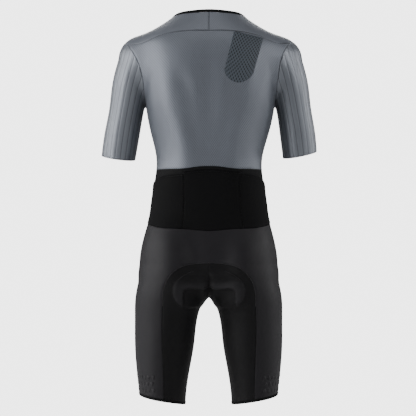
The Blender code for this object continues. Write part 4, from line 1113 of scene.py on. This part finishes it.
def straightened(rings, side):  # every column keeps its angle about the arm's axis, as the ribs do
    angles = []
    for points in rings:
        x, back, front = (arm["form"][name](points[:, 2]) for name in ("x", "back", "front"))
        angle = np.arctan2((back + front) / 2 - points[:, 1], (points[:, 0] - side * x) * side)
        angles.append(np.maximum.accumulate(np.unwrap(angle)))
    count = np.arange(-ring, 2 * ring)
    made = []
    for points, angle in zip(rings, angles):
        run = np.concatenate([angle - 2 * math.pi, angle, angle + 2 * math.pi]) + count * 1e-7
        spot = np.interp(angles[-1], run, count)
        low = np.floor(spot).astype(int)
        part = (spot - low)[:, None]
        made.append(points[low % ring] * (1 - part) + points[(low + 1) % ring] * part)
    return np.array([made[0]] + [settle(points, 2) for points in made[1:]])


shares = np.concatenate([refined(sleeves["shares"])[:-1], [1 - rib["hemAt"], 1 - rib["hemEdge"], 1.0]])
fold = -rib["foldDeep"] * np.exp(-((shares - rib["foldAt"]) / rib["foldWide"]) ** 2)
crest = ribProfile(np.tile(np.arange(ring), len(shares)), np.repeat(shares, ring)) + np.repeat(fold, ring)
for side, word in sides.items():
    rings = [seam["armhole", side]] + [sleeveRing(side, share) for share in shares[1:]]
    rings = straightened(np.array(rings), side)
    uv = np.stack(np.broadcast_arrays(np.arange(ring + 1)[None, :] / sleeves["perRib"] * rib["pitch"],
                                      lengthsOf(rings[:, 0])[:, None]), -1)
    makeCloth("ribSleeve_" + word, "sleeve_" + word, [(rings, side > 0, uv)], finish["ribKnit"], closed=True,
              relief=lambda points: crest)
print("sleeves made")

# Shorts
hemLap, hemLift = 0.0012, 0.0003
for side, word in sides.items():
    chart, place = legChart(side), placeOn(side)
    seat, flip = (seam["arch", side], seam["insert", side]), side < 0
    before = joined(seam["frontHip", side], seam["frontLeg", side])
    seam["outer", side] = coons(chart, legPlace(side), seam["foot", side], seam["hem", "outer", side],
                                joined(seam["seatFold"], *seat, seam["backLeg", side]), before)
    insert = coons(trunkChart, place, seat[0], seam["underSeat", side], seam["seatMiddle"], seat[1])
    belly = coons(trunkChart, place, seam["frontWaist", side], seam["underBelly", side],
                  joined(seam["hipSide", side], seam["frontHip", side]), seam["bellyMiddle"])
    under = joined(seam["underBelly", side], seam["crotch"][::-1], seam["underSeat", side])
    thigh = coons(chart, legPlace(side, inside=True), under, seam["hem", "inner", side],
                  seam["frontLeg", side], seam["backLeg", side])
    makeCloth("shortsInner_" + word, "shorts_inner_" + word,
              [patchOf(finer(grid), flip) for grid in (insert, belly, thigh)], finish["innerKnit"],
              relief=bodyRelief, tone=padRimLight)
    above, below = (joined(seam[edge, "outer", side], seam[edge, "inner", side])[:-1]
                    for edge in ("hem", "end"))
    lap = unit(above - below) * hemLap
    hem = np.array([settle(above + lap), settle((above + below) / 2), settle(below - lap)])
    crest = np.repeat([0.0005, 0.0003, 0.0], hem.shape[1])  # its upper edge laps over the cloth
    makeCloth("legHem_" + word, "leg_hem_" + word,
              [(hem, flip, gridUv(np.concatenate([hem, hem[:, :1]], axis=1)))], finish["blackBinding"],
              closed=True, lift=hemLift, relief=lambda points: crest)
makeCloth("shortsOuter", "shorts_outer", [patchOf(seam["outer", side], side < 0) for side in sides],
          finish["shortsKnit"], relief=bodyRelief)
print("shorts made")

# Lower back and pockets
waist, foot = both("waist"), both("foot")
share = mouthShares()[..., None]
lower = trunkChart(trunkPlace(waist) * (1 - share) + trunkPlace(foot) * share)
lower[0], lower[-1] = waist, foot
lower[:, 0], lower[:, -1] = pair("hipSide")
lowerUv = gridUv(lower)
makeCloth("lowerBack", "lower_back", [(lower, False, lowerUv)], finish["underMesh"], relief=lowerRelief)
firstSeam, secondSeam = backOuter, backOuter + 2 * backInner
pocket = {"lift": 0.0014, "mouthLift": 0.0012, "mouthReach": 0.03}
for word, rowsFrom, first, last in (("left", mouthRows, 0, firstSeam),
                                    ("centre", mouthRows // 2, firstSeam, secondSeam),
                                    ("right", mouthRows, secondSeam, 2 * half)):
    part = slice(rowsFrom, None), slice(first, last + 1)
    mouth = seam["mouth", word] = lower[part][0]

    def mouthStand(points):  # each mouth stands a little off the back
        reach = np.min(np.linalg.norm(points[:, None] - mouth[None], axis=2), axis=1)
        stand = pocket["mouthLift"] * (1 - ramp(reach, 0.0, pocket["mouthReach"]))
        return stand + moundsAt(points, seatShape) + moundsAt(points, backShape)
    makeCloth("backPocket_" + word, "pocket_" + word, [(lower[part], False, lowerUv[part])],
              finish["pocketKnit"], lift=pocket["lift"], relief=mouthStand)
print("pockets made")

# Neck binding, which laps over the cloth below
rows = []
for rise in (zipper["binding"] * 1.2, zipper["binding"] * 0.6, -0.0007):
    left, right = (neckRing(side, rise) for side in sides)
    for side, line in zip(sides, (left, right)):
        line[0] = fromFront(side * zipper["opening"], neckFront + rise)
    left[-1] = right[-1] = fromBehind(0.0, neckBack + rise)
    rows.append(joined(left, right[::-1]))
collar = np.array(rows)
crown = np.repeat([0.0, 0.0006, 0.0005], collar.shape[1])
makeCloth("neckBinding", "collar", [patchOf(collar)], finish["blackBinding"], lift=0.0002,
          relief=lambda points: crown)

# Perforated patch on the right shoulder blade
patch = {"top": ((0.0604, 0.0236), (0.1318, 0.0072)), "foot": ((0.036, -0.0738), (0.1076, -0.0725)),
         "round": 0.029, "columns": 28, "rows": 40, "lift": 0.001}
u = np.linspace(0, 1, patch["columns"] + 1)[None, :, None]
v = np.linspace(0, 1, patch["rows"] + 1)[:, None, None]
(topLeft, topRight), (footLeft, footRight) = np.array(patch["top"]), np.array(patch["foot"])
flat = (topLeft + (topRight - topLeft) * u) * (1 - v) + (footLeft + (footRight - footLeft) * u) * v
droop = patch["round"] * (1 - (2 * u - 1) ** 2) ** 0.7 * v ** 2
grid = fromBehind(flat[..., 0], flat[..., 1] - droop[..., 0])
makeCloth("meshPatch", "mesh_patch", [patchOf(grid)], finish["patchMesh"], lift=patch["lift"],
          relief=bodyRelief)
print("binding and patch made")

# Zip: tapes, teeth, slider and pull
zipParts = {"tapeTop": -0.00175, "tapeFoot": -0.0026, "tapeColumns": 9, "tapeRows": 120, "aboveWaist": 0.003,
            "crown": -0.0004, "pitch": 0.0022, "toothWide": 0.0024, "toothHigh": 0.0012, "toothSunk": 0.0002,
            "sliderAt": -0.012, "sliderLong": 0.009, "sliderWide": 0.007, "plate": 0.001, "lift": 0.0003,
            "pullLong": 0.02, "pullWide": 0.005, "pullThick": 0.001, "eye": 0.003, "bar": 0.001,
            "eyeFoot": 0.005, "axisOut": 0.0013, "joined": 0.00015, "parted": 0.0013,
            "partBelow": (0.0045, 0.0008)}
low, high = waistFront + zipParts["aboveWaist"], neckFront + zipper["binding"]


def tapeInner(height):  # the rows of teeth meet under the slider's post and stand apart above it
    start, end = (zipParts["sliderAt"] - below for below in zipParts["partBelow"])
    return zipParts["joined"] + zipParts["parted"] * ramp(height, start, end)


tooth = [(a * zipParts["toothWide"] / 2, b * zipParts["toothHigh"] / 2, out)
         for out, x, y in ((0.0, 1, 1), (0.7, 1, 1), (1.0, 0.75, 0.55))
         for a, b in ((-x, -y), (x, -y), (x, y), (-x, y))]
toothFaces = [[0, 3, 2, 1], [8, 9, 10, 11]]
toothFaces += [[4 * k + n, 4 * k + (n + 1) % 4, 4 * k + 4 + (n + 1) % 4, 4 * k + 4 + n]
               for k in (0, 1) for n in range(4)]
for side, word in sides.items():
    heights = np.linspace(high, low, zipParts["tapeRows"])
    near = tapeInner(heights)[:, None]
    share = np.linspace(0, 1, zipParts["tapeColumns"])[None, :]
    grid = fromFront(side * (near + (zipper["edge"] - near) * share), heights[:, None])
    makeCloth("zipTape_" + word, "zip_tape_" + word, [patchOf(grid, side > 0)], finish["zipTape"],
              thick=zipParts["tapeTop"] - zipParts["tapeFoot"], lift=zipParts["tapeTop"], gap=0.0)
    heights = np.arange(low + 0.002 + (side > 0) * zipParts["pitch"] / 2, high - 0.001, zipParts["pitch"])
    base = zipParts["tapeTop"] - zipParts["toothSunk"]
    middle = fromFront(side * (tapeInner(heights) + 0.0007), heights)
    points, faces = [], []
    for p, n in zip(middle, normalsAt(middle)):
        faces += [[len(points) + i for i in face] for face in toothFaces]
        points += [p + (a, 0, 0) - np.cross((1, 0, 0), n) * b + n * (base + (zipParts["crown"] - base) * out)
                   for a, b, out in tooth]
    newPiece("zipTeeth_" + word, points, faces, finish["zipTeeth"], smoothly=False, slot="zip_tape_" + word)


def slab(outline, low, high, bevel):  # flat plate with chamfered top, outline as (x, along)
    shape = np.array(outline)
    middle, size = shape.mean(axis=0), len(shape)
    inset = middle + (shape - middle) * (1 - bevel / np.abs(shape - middle).max())
    points = [(x, out, y) for flat, out in ((shape, low + bevel), (shape, high - bevel), (inset, high),
                                            (inset, low)) for x, y in flat]
    loops = [(k * size + n, k * size + (n + 1) % size) for k in range(4) for n in range(size)]
    faces = [[*loops[i], *loops[(i + size) % (4 * size)][::-1]]
             for i in (*range(2 * size), *range(3 * size, 4 * size))]
    return points, faces + [list(range(2 * size, 3 * size)), list(range(3 * size, 4 * size))[::-1]]


def box(x, y, low, high, bevel=0.0002):
    return slab([(x[0], y[0]), (x[1], y[0]), (x[1], y[1]), (x[0], y[1])], low, high, bevel)


def mirrored(half):  # the right half of an outline, from one end to the other
    return half + [(-x, y) for x, y in half[::-1]]


def turnedOut(points, faces):  # every closed shell faces out
    shape = bmesh.new()
    corners = [shape.verts.new(p) for p in points]
    for face in faces:
        shape.faces.new([corners[i] for i in face])
    bmesh.ops.recalc_face_normals(shape, faces=shape.faces)
    shape.verts.index_update()
    faces = [[v.index for v in face.verts] for face in shape.faces]
    shape.free()
    return points, faces


zipMiddle = fromFront(0.0, zipParts["sliderAt"])
tilt = math.atan2(*normalsAt(zipMiddle)[[2, 1]])
outward = np.array([0.0, math.cos(tilt), math.sin(tilt)])
frameOf = np.stack([[1.0, 0.0, 0.0], outward, [0.0, -math.sin(tilt), math.cos(tilt)]])


def zipPiece(name, node, at, shapes, body="suit"):
    points, faces = turnedOut(*gathered(*shapes))
    piece = newPiece(name, at + points @ frameOf, faces, finish["zipMetal"], smoothly=False, body=body,
                     slot=node)
    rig.replaces(piece, node)


endAt, plate, wide = zipParts["sliderLong"] / 2, zipParts["plate"], zipParts["sliderWide"] / 2
top, foot = zipParts["crown"] + zipParts["lift"], zipParts["tapeFoot"] - zipParts["lift"]
shield = mirrored([(wide * x, endAt * y) for x, y in ((0.62, -1), (0.86, -0.5), (0.98, 0), (1, 0.55),
                                                      (0.8, 0.9), (0.4, 1))])
crownTop, inPlate = top + plate + 0.0034, top + plate / 2
bridgeLine = [(-0.0032, inPlate), (-0.0032, crownTop - 0.0014), (-0.0027, crownTop - 0.0004),
              (-0.0018, crownTop), (0.0018, crownTop), (0.0027, crownTop - 0.0004),
              (0.0032, crownTop - 0.0014), (0.0032, inPlate), (0.0012, inPlate), (0.0012, crownTop - 0.001),
              (-0.0012, crownTop - 0.001), (-0.0012, inPlate)]
bridge = ([(x, out, run) for x in (-0.0008, 0.0008) for run, out in bridgeLine],
          [[n, (n + 1) % 12, 12 + (n + 1) % 12, 12 + n] for n in range(12)]
          + [[0, 1, 2, 3, 10, 11][::-1], [3, 4, 5, 6, 9, 10][::-1], [6, 7, 8, 9][::-1],
             [12, 13, 14, 15, 22, 23], [15, 16, 17, 18, 21, 22], [18, 19, 20, 21]])
post = ([(x, out, run) for run in (0.0, endAt - 0.0005) for x, out in
         ((-0.001, foot - plate / 2), (0.001, foot - plate / 2), (0.001, inPlate), (-0.001, inPlate))],
        [[0, 1, 2, 3], [7, 6, 5, 4], [0, 4, 5, 1], [1, 5, 6, 2], [2, 6, 7, 3], [3, 7, 4, 0]])
zipPiece("zipSlider", "zip_slider", zipMiddle, [slab(shield, top, top + plate, 0.0003),
                                                slab(shield, foot - plate, foot, 0.0003), bridge, post])

bar, wide, long = zipParts["bar"] / 2, zipParts["pullWide"] / 2, zipParts["pullLong"]
eye, thick = zipParts["eye"] / 2, zipParts["pullThick"] / 2
bend = [(wide * math.cos(a), -long + wide + wide * math.sin(a)) for a in np.linspace(0, -math.pi, 13)[1:-1]]
tab = slab([(wide, 0.0004 - zipParts["eyeFoot"]), (wide, -long + wide), *bend, (-wide, -long + wide),
            (-wide, 0.0004 - zipParts["eyeFoot"])], -thick, thick, 0.00025)
bars = [box((s * wide, s * eye), (bar, -zipParts["eyeFoot"]), -thick, thick) for s in (-1, 1)]
bars.append(box((-wide, wide), (-bar, bar), -thick, thick))
grips = [box((-wide * 0.66, wide * 0.66), (-y - 0.0005, -y + 0.0005), thick - 0.0002, thick + 0.0003)
         for y in np.arange(0.0085, 0.0175, 0.002)]
zipPiece("zipPull", "zip_pull", zipMiddle + outward * (top + plate + zipParts["axisOut"]),
         [tab, *bars, *grips], body="zip_pull")
print("zip made")

# Seam cords and stitches, each with the sheet that it goes with
trims = {}


def trim(sheet, name, thread, shape):
    piece = newPiece(name, *shape, finish[thread], slot=sheets[sheet]["node"])
    trims.setdefault(sheet, []).append(piece)


def seamLines(lines, step=0.003, lift=bodyRelief, closed=False):
    return [seamLine(line, step, lift, closed) for line in lines]


sideSeam = {side: joined(seam["frontHip", side], seam["frontLeg", side]) for side in sides}
archLines = [joined(seam["arch", side], seam["insert", side]) for side in sides]
thinCord = {"wide": 0.0007, "high": 0.0001}
cords = {  # sheet, thread, lines, profile
    "backPanel_seams": ("backPanel", "seamShade", [both("yoke"), *pair("chestSide")], thinCord),
    "frontPanel_left_seams": ("frontPanel_left", "seamShade",
                              [seam["yokeMiddle", -1], seam["frontWaist", -1]], thinCord),
    "frontPanel_right_seams": ("frontPanel_right", "seamShade", [seam["frontWaist", 1]], thinCord),
    "waistSeam": ("backPanel", "blackThread", [both("waist")], {"wide": 0.0022, "high": 0.0001}),
    # the arch seam's cord is painted lighter: a painted highlight along its ridge
    "archSeam": ("shortsOuter", "charcoalThread", archLines, {"wide": 0.001, "high": 0.0003}),
    "shortsOuter_seams": ("shortsOuter", "blackThread", pair("backLeg"), thinCord),
    "shortsInner_left_seams": ("shortsInner_left", "blackThread",
                               [seam["seatMiddle"], seam["bellyMiddle"], seam["crotch"],
                                seam["hipSide", -1], sideSeam[-1]], thinCord),
    "shortsInner_right_seams": ("shortsInner_right", "blackThread", [seam["hipSide", 1], sideSeam[1]],
                                thinCord),
}
for name, (sheet, thread, lines, shape) in cords.items():
    trim(sheet, name, thread, sweep(seamLines(lines), cordShape(**shape)))

stitches = {  # sheet, thread, lines, pitch, length, offset to the side; all lie across the seam
    "yokeStitches": ("backPanel", "darkThread", [both("yoke")], 0.005, 0.0022, 0.0),
    "yokeMiddleStitches": ("frontPanel_left", "seamShade", [seam["yokeMiddle", -1]], 0.004, 0.0016, 0.0),
    "waistStitches": ("backPanel", "blackThread", [both("waist")], 0.005, 0.003, 0.0028),
    "frontWaistStitches": ("frontPanel_left", "darkThread", pair("frontWaist"), 0.0034, 0.0022, 0.0),
}
for name, (sheet, thread, lines, pitch, long, offset) in stitches.items():
    trim(sheet, name, thread, stitchRow(seamLines(lines, 0.002), pitch, long, pitch * 0.32, 0.0004, offset,
                                        across=True))

ropeRound, ropeSunk = 0.0006, 0.0004
rope = [(ropeRound * math.cos(a), ropeRound * math.sin(a) - ropeSunk) for a in np.arange(8) * math.pi / 4]
grip = {"rows": (-0.8155, -0.8315, -0.8475), "from": 14.0, "stagger": 3.0, "to": 150.0}
sizes = {  # of stitches and marks: pitch along the line, length, width, height
    "sleeve": (0.003, 0.0024, 0.0007, 0.0004), "leg": (0.0032, 0.0025, 0.0007, 0.0006),
    "grip": (0.0124, 0.0104, 0.0104, 0.0004), "zigzag": (0.0024, 0.0048, 0.0009, 0.0005),
    "tack": (0.0009, 0.003, 0.0008, 0.0006), "mouth": (0.0028, 0.0022, 0.0006, 0.0003),
    "padLine": (0.0032, 0.0036, 0.0009, 0.0004),
}
for side, word in sides.items():
    # the armhole seam lies in the fold between body and sleeve
    trim("frontPanel_" + word, "armholeSeam_" + word, "seamShade",
         sweep(seamLines([seam["armhole", side]], closed=True), rope[::-1]))
    # sleeve hems and leg bindings are stitched a little above the edge
    line = seamLines([sleeveRing(side, 1 - rib["hemAt"])], 0.002,
                     lambda points: np.full(len(points), rib["high"] * 0.6), True)
    trim("ribSleeve_" + word, "sleeveStitches_" + word, "darkThread",
         stitchRow(line, *sizes["sleeve"]))
    line = joined(seam["hem", "outer", side], seam["hem", "inner", side])[:-1]
    trim("legHem_" + word, "legStitches_" + word, "blackThread",
         stitchRow(seamLines([line], 0.002, None, True), *sizes["leg"], lift=0.0004))
    # grip marks above the leg hems: rows of short raised plates, round the outer panels
    rows = []
    for number, height in enumerate(grip["rows"]):
        angle = np.radians(np.linspace(grip["from"] + grip["stagger"] * (number % 2), grip["to"], 50))
        line = legChart(side)(np.stack([angle, np.full_like(angle, height)], -1))
        rows.append(stitchRow(seamLines([line], 0.002, None), *sizes["grip"], form="plate"))
    trim("shortsOuter", "gripMarks_" + word, "gripRubber", gathered(*rows))
print("seams stitched")

# Pockets: zigzag stitches down the seams, a bar tack at each mouth corner, a flat row along each mouth


def overPocket(extra=0.0):
    return lambda points: pocket["lift"] + overCloth + extra + moundsAt(points, backShape)


tacks, tackHalf, tackLift, overCloth, mouthInset = [], 0.005, 0.0006, 0.0002, 0.0045
for word, column in (("left", firstSeam), ("right", secondSeam)):
    line = lower[mouthRows // 2:, column]
    trim("backPocket_centre", "pocketZigzag_" + word, "blackThread",
         stitchRow(seamLines([line], 0.0012, overPocket()), *sizes["zigzag"], across=True))
    ends = trunkChart(trunkPlace(line[0] + np.array([[-tackHalf, 0, 0], [tackHalf, 0, 0]])))
    tacks.append(stitchRow(seamLines([ends], 0.0008, overPocket(tackLift)), *sizes["tack"], across=True))
for word in ("left", "centre", "right"):
    line = seamLines([seam["mouth", word]], 0.002, overPocket(pocket["mouthLift"]))
    trim("backPocket_" + word, "mouthStitches_" + word, "blackThread",
         stitchRow(line, *sizes["mouth"], offset=-mouthInset))
trim("backPocket_centre", "pocketTacks", "blackThread", gathered(*tacks))
print("pockets stitched")

# Outline of the pad: short stitches standing across a curve, painted lighter on its upper part as a painted highlight
# where the light falls on them
padLine = {"knots": ((0.036, -0.5566), (0.0504, -0.5614), (0.0624, -0.5678), (0.0732, -0.5758),
                     (0.0827, -0.5877), (0.088, -0.6021), (0.088, -0.6177), (0.0815, -0.6309),
                     (0.0696, -0.6405), (0.0528, -0.6465), (0.0312, -0.6477)),
           "lightTo": 3.2}
lastKnot = len(padLine["knots"]) - 1
for thread, first, last in (("charcoalThread", 0, padLine["lightTo"]),
                            ("blackThread", padLine["lightTo"], lastKnot)):
    x, z = smooth(range(lastKnot + 1), padLine["knots"])(np.linspace(first, last, 60)).T
    lines = seamLines([fromBehind(side * x, z) for side in sides], 0.0015)
    trim("shortsInner_left", "padStitches_" + thread, thread,
         stitchRow(lines, *sizes["padLine"], across=True))
print("trims made")


# The cut of each sheet, from its seams: patches lie side by side, and a last one may lie below them
def cutOf(grids, below):
    wide = [max(lengthsOf(row)[-1] for row in grid) for grid in grids]
    long = [max(lengthsOf(column)[-1] for column in np.swapaxes(grid, 0, 1)) for grid in grids]
    if below:
        return max(sum(wide[:-1]), wide[-1]), max(long[:-1]) + long[-1]
    return sum(wide), max(long)


restsOn = {
    "backPanel": ["frontPanel_left", "frontPanel_right"], "meshPatch": ["backPanel"],
    "lowerBack": ["backPanel", "shortsInner_left", "shortsInner_right"], "backPocket_centre": ["lowerBack"],
    "shortsOuter": ["lowerBack", "shortsInner_left", "shortsInner_right"],
}
for word, other in (("left", "right"), ("right", "left")):
    front = "frontPanel_" + word
    restsOn.update({front: ["backPanel", "frontPanel_" + other], "ribSleeve_" + word: [front, "backPanel"],
                    "shortsInner_" + word: [front, "shortsOuter"], "backPocket_" + word: ["lowerBack"],
                    "zipTape_" + word: [front]})
carriedBy = {"neckBinding": "frontPanel_left", "legHem_left": "shortsOuter", "legHem_right": "shortsOuter"}
for name, owner in carriedBy.items():  # bindings under 10 mm wide go with the cloth that they edge
    trims.setdefault(owner, []).extend([sheets.pop(name)["piece"], *trims.pop(name, [])])
for name, made in sheets.items():
    wide, long = (float(n) for n in cutOf(made["grids"], name.startswith("shortsInner")))
    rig.sheet(made["piece"], flat=(wide, long), held="stretched", rests_on=restsOn[name],
             area=min(made["area"], wide * long), with_pieces=trims.get(name, []))
    print(name, "cut", round(wide, 3), round(long, 3), "area", round(made["area"], 4))


# Camera, lights and floor
view = {"distance": 4.5, "height": -0.40426, "x": -0.002465, "lens": 157.98}
scene = bpy.context.scene


def addObject(name, data):
    thing = bpy.data.objects.new(name, data)
    scene.collection.objects.link(thing)
    return thing


camera = addObject("camera", bpy.data.cameras.new("camera"))
camera.data.lens, camera.data.sensor_width = view["lens"], 36.0
camera.location = (view["x"], -view["distance"], view["height"])
camera.rotation_euler = (math.pi / 2, 0.0, 0.0)
bpy.context.scene.camera = camera

studio = {"background": (3.9, 3.9, 3.9), "world": 0.14, "floor": (0.7, 0.7, 0.7),
          "floorHeight": -1.05, "floorSize": 30.0}


def seenByCamera(tree, plain, seen, output):  # one shader for the light, another for what the camera sees
    path, mix = addNode(tree, "LightPath"), addNode(tree, "MixShader")
    for socket, value in zip(mix.inputs, (path.outputs["Is Camera Ray"], plain.outputs[0], seen.outputs[0])):
        feed(tree, socket, value)
    feed(tree, tree.nodes[output].inputs["Surface"], mix.outputs[0])


scene.world = bpy.data.worlds.new("studio")
scene.world.use_nodes = True
tree = scene.world.node_tree
fill = tree.nodes["Background"]
fill.inputs["Color"].default_value = (1.0, 1.0, 1.0, 1.0)
fill.inputs["Strength"].default_value = studio["world"]
seenByCamera(tree, fill, addNode(tree, "Background", {"Color": studio["background"]}), "World Output")

floorMaterial, tree = newMaterial("paleFloor")
matt = tree.nodes["Principled BSDF"]
feed(tree, matt.inputs["Base Color"], studio["floor"])
seenByCamera(tree, matt, addNode(tree, "Emission", {"Color": studio["background"]}), "Material Output")
size = studio["floorSize"]
floorMesh = bpy.data.meshes.new("floor")
floorMesh.from_pydata([(-size, -size, 0), (size, -size, 0), (size, size, 0), (-size, size, 0)], [],
                      [(0, 1, 2, 3)])
floorMesh.materials.append(floorMaterial)
floor = addObject("floor", floorMesh)
floor.location = (0.0, 0.0, studio["floorHeight"])
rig.stage(floor)

lamps = {  # turn round from the camera, lift in degrees, distance, aim height, width, height, watts
    "keyLeft": (-64, 18, 2.6, -0.4, 0.9, 1.6, 46.0), "keyRight": (56, 18, 2.6, -0.4, 0.7, 1.6, 27.0),
    "sideLeft": (-102, 14, 2.8, -0.4, 0.9, 1.8, 36.0), "sideRight": (103, 12, 2.8, -0.4, 0.9, 1.8, 30.0),
    "lowLeft": (-60, 0, 2.6, -0.62, 0.9, 0.8, 20.0), "overhead": (6, 58, 2.8, -0.2, 1.6, 1.2, 15.0),
    "beyond": (180, 35, 3.0, -0.3, 1.4, 1.8, 50.0),
}
for name, (turn, lift, distance, aim, wide, tall, watts) in lamps.items():
    lamp = addObject(name, bpy.data.lights.new(name, "AREA"))
    lamp.data.shape, lamp.data.energy = "RECTANGLE", watts
    lamp.data.size, lamp.data.size_y = wide, tall
    turn, lift = math.radians(turn), math.radians(lift)
    level = math.cos(lift) * distance
    lamp.location = (math.sin(turn) * level, -math.cos(turn) * level, math.sin(lift) * distance + aim)
    lamp.rotation_euler = (math.pi / 2 - lift, 0.0, turn)
print("camera and lights set")

with open("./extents.json", "w") as out:
    plain = [[[float(n) for n in corner] for corner in box] for box in (cadBounds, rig.bounds())]
    json.dump({"cad": plain[0], "visual": plain[1]}, out)
